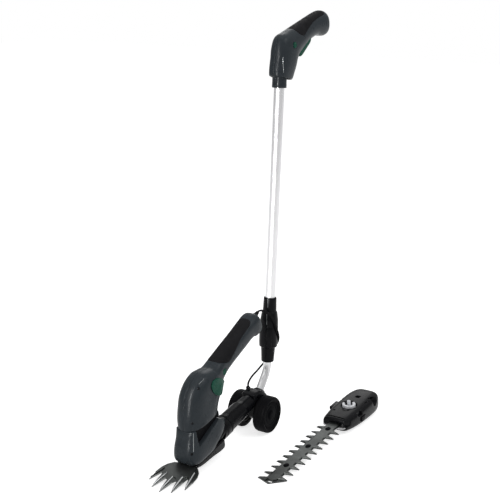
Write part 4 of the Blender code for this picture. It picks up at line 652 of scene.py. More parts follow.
class Tree(Wiring):
    """One Geometry Nodes tree with named inputs, ending in a finish."""

    def __init__(self, name: str, **inputs: str) -> None:
        """Makes the tree with the named inputs, each by the end of its socket type's name.

        Args:
            name: The tree's name.
            inputs: The socket types by input name.
        """
        super().__init__(bpy.data.node_groups.new(name, "GeometryNodeTree"))
        for label, kind in {"Geometry": "Geometry", **inputs, "Finish": "Material"}.items():
            self.tree.interface.new_socket(label, in_out="INPUT", socket_type=f"NodeSocket{kind}")
        self.tree.interface.new_socket("Geometry", in_out="OUTPUT", socket_type="NodeSocketGeometry")
        self.enter = self.add("NodeGroupInput")
        self.leave = self.add("NodeGroupOutput")

    def given(self, label: str) -> Socket:
        """Returns the socket of a named input."""
        return self.enter.outputs[label]

    def end(self, geometry: Socket) -> Tree:
        """Ends the tree in Realize Instances and Set Material.

        Args:
            geometry: What the tree has made.

        Returns:
            The tree.
        """
        real = self.add("GeometryNodeRealizeInstances", {"Geometry": geometry})
        links = {"Geometry": real.outputs["Geometry"], "Material": self.given("Finish")}
        made = self.add("GeometryNodeSetMaterial", links)
        self.tree.links.new(made.outputs["Geometry"], self.leave.inputs[0])
        return self

    def grow(self, name: str, seed: Body, values: dict[str, object]) -> Body:
        """Runs the tree on a seed object and returns the plain mesh that it makes.

        Args:
            name: The name of the new piece.
            seed: The object that the tree starts from, which is used up.
            values: The named inputs.

        Returns:
            The seed object, renamed, with the grown mesh.
        """
        seed.name = name
        modifier = seed.modifiers.new(self.tree.name, "NODES")
        modifier.node_group = self.tree
        for item in self.tree.interface.items_tree:
            if item.in_out == "INPUT" and item.name in values:
                modifier[item.identifier] = values[item.name]
        BENCH.settle(seed)
        return seed


def seated_copies() -> Tree:
    """Copies a template onto points, turned by the points' own turn.

    Returns:
        The tree.
    """
    tree = Tree("seated_copies", Template="Object", Size="Float")
    template = tree.add("GeometryNodeObjectInfo", {"Object": tree.given("Template")})
    turn = tree.add("GeometryNodeInputNamedAttribute", values={"Name": "turn"}, data_type="FLOAT_VECTOR")
    value = next(socket for socket in turn.outputs if socket.enabled and socket.name == "Attribute")
    rotation = tree.add("FunctionNodeEulerToRotation", {"Euler": value})
    copies = tree.add(
        "GeometryNodeInstanceOnPoints",
        {
            "Points": tree.given("Geometry"), "Instance": template.outputs["Geometry"],
            "Rotation": rotation.outputs["Rotation"], "Scale": tree.given("Size")})
    return tree.end(copies.outputs["Instances"])


def path_bead() -> Tree:
    """Sweeps a round bead along the edges of the seed mesh.

    Returns:
        The tree.
    """
    tree = Tree("path_bead", Radius="Float")
    line = tree.add("GeometryNodeMeshToCurve", {"Mesh": tree.given("Geometry")})
    section = tree.add(
        "GeometryNodeCurvePrimitiveCircle", {"Radius": tree.given("Radius")}, {"Resolution": 10})
    swept = tree.add(
        "GeometryNodeCurveToMesh",
        {"Curve": line.outputs["Curve"], "Profile Curve": section.outputs["Curve"]}, {"Fill Caps": True})
    return tree.end(swept.outputs["Mesh"])


def rib_row() -> Tree:
    """Sets equal bars in a row, one pitch apart.

    Returns:
        The tree.
    """
    tree = Tree("rib_row", Count="Int", Pitch="Vector", Bar="Vector")
    row = tree.add("GeometryNodeMeshLine", {"Count": tree.given("Count"), "Offset": tree.given("Pitch")})
    bar = tree.add("GeometryNodeMeshCube", {"Size": tree.given("Bar")})
    bars = tree.add(
        "GeometryNodeInstanceOnPoints", {"Points": row.outputs["Mesh"], "Instance": bar.outputs["Mesh"]})
    return tree.end(bars.outputs["Instances"])


def spoke_ring() -> Tree:
    """Sets equal bars round the Z axis, each along its own radius.

    Returns:
        The tree.
    """
    tree = Tree("spoke_ring", Count="Int", Radius="Float", Bar="Vector")
    ring = tree.add(
        "GeometryNodeMeshCircle", {"Vertices": tree.given("Count"), "Radius": tree.given("Radius")})
    bar = tree.add("GeometryNodeMeshCube", {"Size": tree.given("Bar")})
    index = tree.add("GeometryNodeInputIndex")
    share = tree.add(
        "ShaderNodeMath", {0: index.outputs["Index"], 1: tree.given("Count")}, operation="DIVIDE")
    angle = tree.add("ShaderNodeMath", {0: share.outputs["Value"]}, {1: math.tau}, operation="MULTIPLY")
    euler = tree.add("ShaderNodeCombineXYZ", {"Z": angle.outputs["Value"]})
    rotation = tree.add("FunctionNodeEulerToRotation", {"Euler": euler.outputs["Vector"]})
    bars = tree.add(
        "GeometryNodeInstanceOnPoints",
        {
            "Points": ring.outputs["Mesh"], "Instance": bar.outputs["Mesh"],
            "Rotation": rotation.outputs["Rotation"]})
    return tree.end(bars.outputs["Instances"])


SEATED_COPIES = seated_copies()
PATH_BEAD = path_bead()
RIB_ROW = rib_row()
SPOKE_RING = spoke_ring()


def arc(
        radius: float, first: float, last: float, steps: int,
        middle: float = 0.0) -> list[tuple[float, float]]:
    """Returns a round line between two angles in degrees, about a middle on the X axis."""
    turns = [math.radians(first + (last - first) * step / steps) for step in range(steps + 1)]
    return [(middle + radius * math.cos(turn), radius * math.sin(turn)) for turn in turns]


def power(value: float, exponent: float) -> float:
    """Returns a signed power, the base of a superellipse."""
    return math.copysign(abs(value) ** exponent, value)


def spanned(rows: Sequence[Sequence[float]], steps: int) -> list[tuple[float, ...]]:
    """Returns rows of numbers with more rows between them, along smooth curves through them all.

    Args:
        rows: The given rows.
        steps: How many rows each gap becomes.

    Returns:
        The finer rows.
    """
    ends = [rows[0], *rows, rows[-1]]
    fine = []
    for index in range(1, len(ends) - 2):
        before, start, end, after = ends[index - 1:index + 3]
        for step in range(steps):
            t = step / steps
            fine.append(
                tuple(
                    0.5 * (
                        2.0 * b + (c - a) * t + (2.0 * a - 5.0 * b + 4.0 * c - d) * t * t
                        + (3.0 * b - a - 3.0 * c + d) * t * t * t)
                    for a, b, c, d in zip(before, start, end, after)))
    fine.append(tuple(rows[-1]))
    return fine


def eased(corners: Outline, radius: float, closed: bool = True, steps: int = 4) -> list[tuple[float, float]]:
    """Rounds the corners of a flat line.

    Args:
        corners: The corner points.
        radius: How far from a corner its rounding starts, less on short sides.
        closed: Whether the line returns to its start.
        steps: Points spent on each corner, less one.

    Returns:
        The rounded line.
    """
    points = []
    count = len(corners)
    for index, corner in enumerate(corners):
        here = Vector(corner)
        if not closed and index in (0, count - 1):
            points.append(tuple(here))
            continue
        before = Vector(corners[index - 1])
        after = Vector(corners[(index + 1) % count])
        start = here + (before - here) * min(0.45, radius / max((before - here).length, 1e-6))
        end = here + (after - here) * min(0.45, radius / max((after - here).length, 1e-6))
        for step in range(steps + 1):
            t = step / steps
            points.append(tuple(start * (1.0 - t) ** 2 + here * (2.0 * t * (1.0 - t)) + end * t * t))
    return points


def grown_outline(outline: Outline, distance: float) -> list[tuple[float, float]]:
    """Returns the outline moved away from its middle by a distance.

    Args:
        outline: The outline.
        distance: How far out each point goes.

    Returns:
        The new outline.
    """
    middle = sum((Vector(point) for point in outline), Vector((0.0, 0.0))) / len(outline)
    return [
        tuple(middle + (Vector(point) - middle) * (1.0 + distance / (Vector(point) - middle).length))
        for point in outline]


def upright(point: tuple[float, float], y: float = 0.0) -> Triple:
    """Turns a profile point into a local point at the given y."""
    return (point[0], y, point[1])


@dataclass(frozen=True)
class Hull:
    """A smooth hull through superellipse sections that stand across a local frame's XZ plane.

    Attributes:
        rows: Sections as (first x, first z, second x, second z, half width, squareness).
        matrix: The local frame.
        steps: Rows between two given sections.
        around: Points of one ring.
    """

    rows: tuple[tuple[float, ...], ...]
    matrix: Matrix
    steps: int = 5
    around: int = 72

    def ring(self, row: Sequence[float], grow: float) -> Ring:
        """Returns one ring, grown evenly.

        Args:
            row: One section.
            grow: How far it is grown.

        Returns:
            The ring's points.
        """
        first = Vector((row[0], 0.0, row[1]))
        second = Vector((row[2], 0.0, row[3]))
        middle = (first + second) / 2.0
        up = (first - second) / 2.0
        up *= (up.length + grow) / up.length
        exponent = 2.0 / row[5]
        points = []
        for step in range(self.around):
            turn = math.tau * step / self.around
            across = power(math.sin(turn), exponent) * (row[4] + grow)
            points.append(tuple(middle + power(math.cos(turn), exponent) * up + Vector((0.0, across, 0.0))))
        return points

    def body(self, name: str, grow: float = 0.0) -> Body:
        """Returns the closed hull, grown or shrunk evenly."""
        return BENCH.loft(name, [self.ring(row, grow) for row in spanned(self.rows, self.steps)], self.matrix)


def sections(stations: Sequence[Sequence[float]], squareness: float) -> tuple[tuple[float, ...], ...]:
    """Adds one squareness to every section."""
    return tuple((*station, squareness) for station in stations)


class Sight:
    """The photo's camera, found from the wheels, the tubes and the ground line."""

    PLACE = (1700.49, 1052.8, 917.9)
    AZIMUTH = 32.0
    DOWN = 15.434
    FOCAL = 1093.3
    PIXELS = 500

    def __init__(self) -> None:
        """Places the camera in the row frame."""
        self.place = FRAMES.product @ Vector(self.PLACE)
        down = math.radians(self.DOWN)
        side = math.radians(self.AZIMUTH)
        self.forward = Vector(
            (-math.cos(side) * math.cos(down), -math.sin(side) * math.cos(down), -math.sin(down)))
        self.right = self.forward.cross(Vector(UP)).normalized()
        self.up = self.right.cross(self.forward)

    def toward(self, x: float, y: float) -> Vector:
        """Returns the direction of a pixel of the photo."""
        half = self.PIXELS / 2.0
        return (self.forward * self.FOCAL + self.right * (x - half) - self.up * (y - half)).normalized()

    def make_camera(self) -> None:
        """Adds the camera and sets the picture's size."""
        data = bpy.data.cameras.new("camera")
        data.sensor_width = 36.0
        data.lens = self.FOCAL * data.sensor_width / self.PIXELS
        data.clip_start = 0.05
        data.clip_end = 50.0
        camera = bpy.data.objects.new("camera", data)
        camera.matrix_world = Matrix((self.right, self.up, -self.forward)).transposed().to_4x4()
        camera.location = self.place
        scene = bpy.context.scene
        scene.collection.objects.link(camera)
        scene.camera = camera
        scene.render.resolution_x = self.PIXELS
        scene.render.resolution_y = self.PIXELS
        scene.view_settings.view_transform = "Standard"


SIGHT = Sight()
Spot = tuple[Vector, Vector]


class Surface:
    """The skin of some pieces, on which smaller pieces are seated."""

    def __init__(self, *pieces: Body) -> None:
        """Gathers the faces of the pieces."""
        vertices: list[Vector] = []
        faces: list[tuple[int, ...]] = []
        for piece in pieces:
            start = len(vertices)
            vertices += [vertex.co.copy() for vertex in piece.data.vertices]
            faces += [tuple(index + start for index in polygon.vertices) for polygon in piece.data.polygons]
        self.tree = BVHTree.FromPolygons(vertices, faces)

    def along(self, start: Vector, direction: Vector) -> Spot:
        """Returns the first point hit from a start along a direction, with the outward normal there.

        Args:
            start: Where the ray starts.
            direction: Which way it goes.

        Returns:
            The place and its normal.
        """
        place, normal, _, _ = self.tree.ray_cast(start, direction.normalized())
        if place is None:
            raise ValueError(f"nothing to seat a piece on from {tuple(start)}")
        return place, (normal if normal.dot(direction) < 0.0 else -normal)

    def seen(self, x: float, y: float) -> Spot:
        """Returns the point behind a pixel of the photo."""
        return self.along(SIGHT.place, SIGHT.toward(x, y))

    def line(self, first: Point, last: Point, steps: int) -> list[Spot]:
        """Returns the points behind a straight line between two pixels of the photo."""
        pixels = (Vector(first).lerp(Vector(last), step / steps) for step in range(steps + 1))
        return [self.seen(x, y) for x, y in pixels]

    def local(self, matrix: Matrix, start: Point, direction: Point) -> Spot:
        """Returns the point hit by a ray given in a local frame."""
        return self.along(matrix @ Vector(start), matrix.to_3x3() @ Vector(direction))


def seeds(name: str, points: Sequence[Point], turns: Sequence[Point]) -> Body:
    """Returns an object of loose points, each with its own turn as an attribute.

    Args:
        name: The object's name.
        points: The points.
        turns: Their Euler angles.

    Returns:
        The object.
    """
    mesh = bpy.data.meshes.new(name)
    mesh.from_pydata([tuple(point) for point in points], [], [])
    turn = mesh.attributes.new("turn", "FLOAT_VECTOR", "POINT")
    for item, value in zip(turn.data, turns):
        item.vector = value
    obj = bpy.data.objects.new(name, mesh)
    bpy.context.scene.collection.objects.link(obj)
    return obj


def copies(
        name: str, template: Body, points: Sequence[Point], turns: Sequence[Point], size: float,
        finish: Finish) -> Body:
    """Returns one piece of equal copies of a template, which is used up.

    Args:
        name: The piece's name.
        template: What is copied.
        points: Where the copies stand.
        turns: Their Euler angles.
        size: The factor of their size.
        finish: What they are made of.

    Returns:
        The piece.
    """
    values = {"Template": template, "Size": size, "Finish": finish.on(name)}
    piece = SEATED_COPIES.grow(name, seeds(name, points, turns), values)
    bpy.data.objects.remove(template)
    leftover = piece.data.attributes.get("turn")
    if leftover:
        piece.data.attributes.remove(leftover)
    return piece


def on_spots(
        name: str, template: Body, spots: Sequence[Spot], sink: float, finish: Finish, body: str) -> Body:
    """Seats copies of a millimetre template on spots, each sunk by a depth, and puts them on a body.

    Args:
        name: The piece's name.
        template: What is copied.
        spots: Where the copies stand.
        sink: The depth.
        finish: What they are made of.
        body: The body that they ride on.

    Returns:
        The finished piece.
    """
    points = [place - normal * sink * MM for place, normal in spots]
    turns = [tuple(normal.to_track_quat("Z", "Y").to_euler()) for _, normal in spots]
    return BENCH.seat(copies(name, template, points, turns, MM, finish), body)


def screw_template(radius: float) -> Body:
    """Returns a pan-head screw top with a cross recess, in millimetres about the origin.

    Args:
        radius: The head's radius.

    Returns:
        The screw top.
    """
    profile = eased(((radius, -0.6), (radius, 0.5), (radius * 0.7, 1.1), (0.01, 1.25)), 0.3, False, 3)
    head = BENCH.turned("screw_head", ZERO, UP, profile, FLAT, 24)
    arm = radius * 0.62
    slot = radius * 0.16
    return BENCH.carve(
        head,
        *(BENCH.block("cross", (-x, -y, 0.3), (x, y, 3.0), FLAT) for x, y in ((arm, slot), (slot, arm))))


def well(spot: Spot, radius: float, depth: float) -> Body:
    """Returns a round cutter that sinks a well of a depth at a spot. Millimetres.

    Args:
        spot: Its place and normal.
        radius: Its radius.
        depth: Its depth.

    Returns:
        The cutter.
    """
    place, normal = spot
    turn = normal.to_track_quat("Z", "Y").to_matrix().to_4x4()
    matrix = Matrix.Translation(place) @ turn @ Matrix.Scale(MM, 4)
    return BENCH.turned("well", ZERO, UP, ((radius, -depth), (radius, 3.0)), matrix, 32)


def bead(name: str, spots: Sequence[Spot], radius: float, sink: float, finish: Finish, body: str) -> Body:
    """Lays a round bead along spots, its centre line sunk below the surface by a depth. Millimetres.

    Args:
        name: The piece's name.
        spots: Where it runs.
        radius: Its radius.
        sink: How deep its centre line lies.
        finish: What it is made of.
        body: The body that it rides on.

    Returns:
        The finished piece.
    """
    rows = spanned([tuple(place - normal * sink * MM) for place, normal in spots], 4)
    mesh = bpy.data.meshes.new(name)
    mesh.from_pydata(rows, [(index, index + 1) for index in range(len(rows) - 1)], [])
    seed = bpy.data.objects.new(name, mesh)
    bpy.context.scene.collection.objects.link(seed)
    piece = PATH_BEAD.grow(name, seed, {"Radius": radius * MM, "Finish": finish.on(name)})
    return BENCH.seat(piece, body)


def ribs(
        name: str, matrix: Matrix, first: Point, pitch: Point, bar: Point, count: int, ease: float,
        finish: Finish, body: str) -> Body:
    """Sets a row of equal rounded bars.

    Args:
        name: The piece's name.
        matrix: The local frame, in millimetres.
        first: The middle of the first bar.
        pitch: The step from one bar to the next.
        bar: The size of one bar.
        count: How many bars.
        ease: The rounding of their edges.
        finish: What they are made of.
        body: The body that they ride on.

    Returns:
        The finished piece.
    """
    piece = RIB_ROW.grow(
        name, seeds(name, [ZERO], [ZERO]),
        {"Count": count, "Pitch": pitch, "Bar": bar, "Finish": finish.on(name)})
    piece.data.transform(matrix @ Matrix.Translation(Vector(first)))
    BENCH.rounded(piece, ease, 2)
    return BENCH.seat(piece, body)


# Shear unit, in the shear frame: (top u, top w, bottom u, bottom w, half width), tail first
SHEAR_STATIONS = (
    (-265, 184, -277, 149, 15.5), (-260, 186.5, -271.5, 142.5, 19), (-250, 186.5, -256, 140, 20),
    (-234, 182.5, -240, 143, 19), (-200, 174, -207, 135.5, 18.5), (-165, 166, -172, 128, 18.5),
    (-135, 158.5, -145, 121, 19), (-108, 151, -127, 112.5, 21.2), (-93, 153, -119, 102.5, 23.6),
    (-71.5, 156, -116, 95, 25.2), (-47, 148, -112.5, 89, 26.2), (-28, 130, -109, 85, 26.6),
    (-18, 106.5, -106, 81, 26.6), (-12.6, 87, -103.5, 76.5, 26.4), (-11, 70, -101.4, 70, 25.8),
)
SHEAR_SQUARENESS = 2.7
SHELL_WALL = 2.6
TAIL_WALL = 3.2
SKIN_DEPTH = 1.5
SKIN_PROUD = 0.15
SOFT_GRIP_REGION = (
    (-110, 192), (-113.5, 164), (-121, 153.5), (-148, 142.5), (-170, 153.5), (-194.5, 165.5), (-214, 171.5),
    (-231, 176), (-240, 181), (-242.5, 188), (-242.5, 204),
)
LOCK_CENTRE = (-128.5, 133.0)
LOCK_RADIUS = 6.0
LOCK_INNER = 12.4
LOCK_HEIGHT = 8.0
SOCKET_CENTRE = (-268.9, 171.5)
SOCKET_DIRECTION = (-0.957, 0.292)
SOCKET_RADIUS = 6.0
TRIGGER_MIDDLE = (-99.0, 119.0)
TRIGGER_LONG_HALF = (25.0, 13.0)
TRIGGER_SHORT_HALF = (-3.0, 17.0)
TRIGGER_PROUD = 1.7
TRIGGER_BED = 0.6
TRIGGER_TRAVEL = 2.1
TRIGGER_REAR = 2.2
JAW_BOTTOM = 4.9
# Jaw levels: (front u, w, rear u, w, half width)
JAW_LEVELS = (
    (-8.5, 4.9, -71, 4.9, 22.5), (-1.5, 6.4, -76, 6.4, 25.2), (3.6, 13, -84, 13, 26.8),
    (5.2, 24, -107, 24, 27), (2.4, 38, -116, 38, 26), (-4.8, 54, -111, 54, 24.6), (-8.2, 64, -106, 64, 24.4),
    (-11.2, 69.6, -102, 69.6, 24.8),
)
JAW_SQUARENESS = 4.0
WINDOW_CUT = ((-20, 75), (-19.5, 38), (-89, 57), (-116, 37), (-119, 28), (-140, 22), (-140, 75))
GEAR_U = -42.0
SHAFT_BORE = 2.7
CRANK_POCKET = (7.2, 7.3)
RING_AXIS_W = 9.5
RING_RADIUS = 20.6
RING_FRONT = -108.0
RING_REAR = -131.0
SPIGOT_RADIUS = 14.2
SPIGOT_LENGTH = 18.0


def across(matrix: Matrix, name: str, outline: Outline, half: float = 45.0) -> Body:
    """Returns a body across the whole width of a frame from an (x, z) outline."""
    return BENCH.slab(name, outline, -half, half, matrix)


def toward(first: Sequence[float], second: Sequence[float], distance: float) -> tuple[float, ...]:
    """Returns the first section moved toward the second by a distance, at the first's width.

    Args:
        first: The section that moves.
        second: The section that it moves to.
        distance: How far each end moves.

    Returns:
        The moved section.
    """
    moved: list[float] = []
    for axis in (0, 2):
        one = Vector(first[axis:axis + 2])
        other = Vector(second[axis:axis + 2])
        moved += list(one + (other - one).normalized() * distance)
    return (*moved, *first[4:])


@dataclass
class Moulding:
    """A hollow moulding in two halves that meet at y = 0.

    Attributes:
        name: The start of both names.
        hull: Its outside.
        cavity: Its inside, before it is shrunk by the wall.
        wall: The wall thickness.
        body: The body that both halves ride on.
    """

    name: str
    hull: Hull
    cavity: Hull
    wall: float
    body: str

    def half(self, side: Side, cutters: Sequence[Callable[[], Body]]) -> Body:
        """Builds one half with its cuts. The cutters are made afresh for it.

        Args:
            side: Which half.
            cutters: What makes each cutter, anew for this half.

        Returns:
            The half.
        """
        piece = self.hull.body(f"{self.name}_{side.name.lower()}")
        ends = sorted((side.value * 0.12, -side.value * 90.0))
        far = BENCH.block("far_half", (-400.0, ends[0], -60.0), (400.0, ends[1], 900.0), self.hull.matrix)
        tools = [self.cavity.body("cavity", -self.wall), far] + [cutter() for cutter in cutters]
        return BENCH.carve(piece, *tools)


@dataclass
class ShearUnit:
    """The hand-held shear: shells, jaw, skin, trigger, lock button and receiver ring."""

    body: str = "shear_unit"
    matrix: Matrix = field(default_factory=lambda: FRAMES.shear)
    screw_spots: list[Spot] = field(default_factory=list)

    def __post_init__(self) -> None:
        """Makes the hulls that all its pieces share."""
        self.hull = Hull(sections(SHEAR_STATIONS, SHEAR_SQUARENESS), self.matrix)
        self.jaw_hull = Hull(sections(JAW_LEVELS, JAW_SQUARENESS), self.matrix, steps=6, around=120)

    def recess(self) -> Body:
        """Returns the cutter of the soft skin's bed."""
        region = across(self.matrix, "skin_bed", eased(SOFT_GRIP_REGION, 6.0))
        return BENCH.carve(region, self.hull.body("bed_floor", -SKIN_DEPTH - CLEARANCE))

    def socket_hole(self) -> Body:
        """Returns the cutter for the charging socket."""
        profile = [(SOCKET_RADIUS + CLEARANCE, distance) for distance in (-9.0, 4.0)]
        return BENCH.turned(
            "hole", upright(SOCKET_CENTRE), upright(SOCKET_DIRECTION), profile, self.matrix, 40)

    def lock_hole(self) -> Body:
        """Returns the cutter for the lock button."""
        return BENCH.bore(upright(LOCK_CENTRE, 8.0), LEFTWARD, LOCK_RADIUS + CLEARANCE, 20.0, self.matrix)

    def shells(self) -> None:
        """Builds both halves of the grip and motor housing, with the screw wells of the left one."""
        stations = SHEAR_STATIONS
        inner = (
            toward(stations[0], stations[1], TAIL_WALL), toward(stations[1], stations[2], 1.5),
            *stations[2:], (-10.0, 60.0, -100.0, 60.0, 25.6))
        moulding = Moulding(
            "shear_shell_half", self.hull, Hull(sections(inner, SHEAR_SQUARENESS), self.matrix), SHELL_WALL,
            self.body)
        left = moulding.half(Side.LEFT, (self.recess, self.socket_hole, self.lock_hole))
        skin = Surface(left)
        spots = [
            skin.local(self.matrix, (u, 90.0, w), (0.0, -1.0, 0.0))
            for u, w in ((-18.0, 86.0), (-48.0, 142.0))]
        BENCH.carve(left, *(well(spot, 2.5, 1.9) for spot in spots))
        self.screw_spots += [(place - normal * 1.9 * MM, normal) for place, normal in spots]
        right = moulding.half(Side.RIGHT, (self.recess, self.socket_hole))
        for piece in (left, right):
            BENCH.rounded(piece, 0.35, 2, 45.0)
            BENCH.finish(piece, Finish.SLATE, self.body, [piece.name.replace("_half", "")])
        self.left = left

    def soft_grip(self) -> None:
        """Builds the soft black skin over the grip's back."""
        piece = self.hull.body("soft_grip_skin", SKIN_PROUD)
        region = across(
            self.matrix, "skin_region", eased(grown_outline(SOFT_GRIP_REGION, -2.0 * CLEARANCE), 6.0))
        BENCH.cut(piece, [("INTERSECT", region), ("DIFFERENCE", self.hull.body("skin_floor", -SKIN_DEPTH))])
        BENCH.rounded(piece, 0.5, 2, 50.0)
        BENCH.finish(piece, Finish.SKIN, self.body, ["shear_soft_grip"])

    def jaw(self) -> None:
        """Builds the grey jaw round the black side windows."""
        piece = self.jaw_hull.body("jaw_housing")
        shaft = (GEAR_U, 0.0, 0.0)
        sleeve = (RING_FRONT + CLEARANCE, 0.0, RING_AXIS_W)
        BENCH.carve(
            piece, across(self.matrix, "window_cut", eased(WINDOW_CUT, 2.0)),
            BENCH.bore(sleeve, (-1.0, 0.0, 0.0), RING_RADIUS + 2.0 * CLEARANCE, 40.0, self.matrix, 72),
            BENCH.bore(shaft, UP, SHAFT_BORE, 60.0, self.matrix, 32),
            BENCH.bore(shaft, UP, *CRANK_POCKET, self.matrix))
        spot = Surface(piece).seen(192.0, 454.5)
        BENCH.carve(piece, well(spot, 2.6, 2.2))
        self.screw_spots.append((spot[0] - spot[1] * 2.2 * MM, spot[1]))
        BENCH.rounded(piece, 0.6, 2, 50.0)
        BENCH.finish(piece, Finish.SLATE, self.body, ["gear_housing"])
        self.jaw_piece = piece

    def trigger(self) -> None:
        """Builds the green trigger that wraps the rear of the body."""
        rows = []
        for tu, tw, bu, bw, half in SHEAR_STATIONS:
            top = Vector((tu, tw))
            bottom = Vector((bu, bw))
            bottom += (bottom - top).normalized() * TRIGGER_REAR
            rows.append((tu, tw, *bottom, half))
        piece = Hull(sections(rows, SHEAR_SQUARENESS), self.matrix).body("trigger_patch", TRIGGER_PROUD)
        long_half, short_half = Vector(TRIGGER_LONG_HALF), Vector(TRIGGER_SHORT_HALF)
        region = [
            tuple(Vector(TRIGGER_MIDDLE) + x * long_half + y * short_half)
            for x, y in arc(1.0, 0.0, 360.0, 72)[:-1]]
        travel = self.hull.body("trigger_travel", 1.5 * CLEARANCE)
        travel.data.transform(Matrix.Translation(self.matrix.to_3x3() @ Vector((-TRIGGER_TRAVEL, 0.0, 0.0))))
        BENCH.cut(
            piece,
            [
                ("INTERSECT", across(self.matrix, "trigger_region", region)),
                ("DIFFERENCE", self.hull.body("trigger_bed", TRIGGER_BED)), ("DIFFERENCE", travel)])
        BENCH.rounded(piece, 0.7, 3, 50.0)
        BENCH.finish(piece, Finish.GREEN, "shear_trigger_body", ["shear_trigger"])

    def lock_button(self) -> None:
        """Builds the green lock button with its domed, ringed top."""
        profile = (
            (LOCK_RADIUS, 0.0), (LOCK_RADIUS, LOCK_HEIGHT - 0.6), (LOCK_RADIUS - 0.8, LOCK_HEIGHT),
            (LOCK_RADIUS - 2.0, LOCK_HEIGHT), (LOCK_RADIUS - 2.4, LOCK_HEIGHT - 0.5),
            (0.01, LOCK_HEIGHT - 0.2))
        piece = BENCH.turned(
            "lock_button_top", upright(LOCK_CENTRE, LOCK_INNER), LEFTWARD, eased(profile, 0.5, False),
            self.matrix, 48)
        BENCH.finish(piece, Finish.GREEN, "shear_lock_body", ["shear_lock_button"])

    def ring(self) -> None:
        """Builds the black receiver ring behind the jaw."""
        low = JAW_BOTTOM + 0.1
        rows = [
            (-80.0, 9.4, -80.0, low, 17.5, 4.0), (-95.0, 17.0, -95.0, low, 19.6, 3.4),
            (RING_FRONT, 23.4, RING_FRONT, low, 20.0, 3.0)]
        for u, drawn_in in (
                (RING_FRONT, 0.0), (RING_FRONT - 8.0, 0.0), (RING_FRONT - 8.6, 0.7),
                (RING_FRONT - 10.4, 0.7), (RING_FRONT - 11.0, 0.0), (RING_REAR + 1.5, 0.0),
                (RING_REAR + 0.4, 0.5), (RING_REAR, 1.5)):
            radius = RING_RADIUS - drawn_in
            rows.append((u, RING_AXIS_W + radius, u, RING_AXIS_W - radius, radius, 2.0))
        piece = Hull(tuple(rows), self.matrix, steps=1).body("receiver_sleeve")
        foot = (RING_REAR - 1.0, 0.0, RING_AXIS_W)
        bore = SPIGOT_RADIUS + CLEARANCE
        BENCH.carve(piece, BENCH.bore(foot, (1.0, 0.0, 0.0), bore, SPIGOT_LENGTH + 2.0, self.matrix, 72))
        BENCH.finish(piece, Finish.BLACK, self.body, ["receiver_ring"])

    def details(self) -> None:
        """Seats the screws and the raised lines of the jaw and the body, the lines coloured light as painted
        highlights.
        """
        on_spots("shear_screws", screw_template(2.0), self.screw_spots, 0.1, Finish.DARK_STEEL, self.body)
        # The jaw's corner line and the shell's short slanted line are beads coloured light as painted
        # highlights.
        corner = Surface(self.jaw_piece).line((193.4, 433.5), (193.5, 451.9), 8)
        bead("jaw_corner_ridge", corner, 0.7, 0.3, Finish.GLINT, self.body)
        tick = Surface(self.left).line((198.8, 384.4), (204.05, 378.8), 7)
        bead("shell_mould_tick", tick, 0.45, 0.2, Finish.GLINT, self.body)

    def build(self) -> None:
        """Builds all of the shear unit."""
        for step in (
                self.shells, self.soft_grip, self.jaw, self.trigger, self.lock_button, self.ring,
                self.details):
            step()
            LOG.info("shear unit: %s", step.__name__)


# Grass blade module, in the shear frame
COMB_BOTTOM = -1.1
COMB_THICKNESS = 2.0
MOVING_THICKNESS = 1.5
FORK_THICKNESS = 1.3
BLADE_PIVOT_U = -12.0
BLADE_PIVOT_RADIUS = 2.2
GRASS_TIPS = (
    (56.0, -38.8, -10.0), (72.4, -21.0, -5.0), (79.0, 0.0, 0.0), (72.4, 21.0, 5.0), (56.0, 38.8, 10.0))
GRASS_EDGE_LENGTH = 40.0
GRASS_EDGE_SHIFT = 1.2
GRASS_TOOTH_LENGTH = 31.0
GRASS_HOUSING = (
    (-12, 4.6), (-7.6, 1.6), (-6.4, -2.2), (-21, -6.5), (-35, -8.6), (-58, -10.2), (-76, -13), (-84, -14.2),
    (-98, -14.2), (-101.6, -10), (-101.6, 4.6),
)
GRASS_HOUSING_HALF = 21.8
LATCH = ((-97.0, -9.0, -17.2), (-81.0, 9.0, -11.4))
PRESS_TRAVEL = 2.0


def flank_cutter(length: float, inset: float, drop: float) -> Body:
    """Returns the cutter that grinds an edge along +X, with the plate's outside on +Y and its top at z = 0."""
    section = ((-1.2 * inset, 0.2 * drop), (0.2 * inset, -1.2 * drop), (1.0 + inset * 0.2, 1.5))
    return BENCH.slab("flank_cutter", section, 0.0, length, FLAT, "x")


def ground_edges(piece: Body, matrix: Matrix, plain: Finish, bright: Finish) -> None:
    """Gives the sloping faces of a blade the bright finish of its grinding, and the rest the plain one.

    Args:
        piece: The blade.
        matrix: Its frame, whose Z axis stands on the blade.
        plain: The finish of the flat faces.
        bright: The finish of the sloping faces.
    """
    piece.data.materials.clear()
    piece.data.materials.append(plain.on(piece.name))
    piece.data.materials.append(bright.on(piece.name + "_ground"))
    up = (matrix.to_3x3() @ Vector(UP)).normalized()
    for polygon in piece.data.polygons:
        slope = polygon.normal.dot(up)
        polygon.material_index = 1 if 0.12 < slope < 0.97 else 0


@dataclass(frozen=True)
class GrassBlade:
    """One fan blade of five teeth.

    Attributes:
        pull: How far its tips are drawn back.
        root: Half the width of a tooth at its root.
        bottom: Its lower face.
        thickness: Its thickness.
        spans: Its plate behind the teeth as (u, half width), rear first.
    """

    pull: float
    root: float
    bottom: float
    thickness: float
    spans: tuple[tuple[float, float], ...]


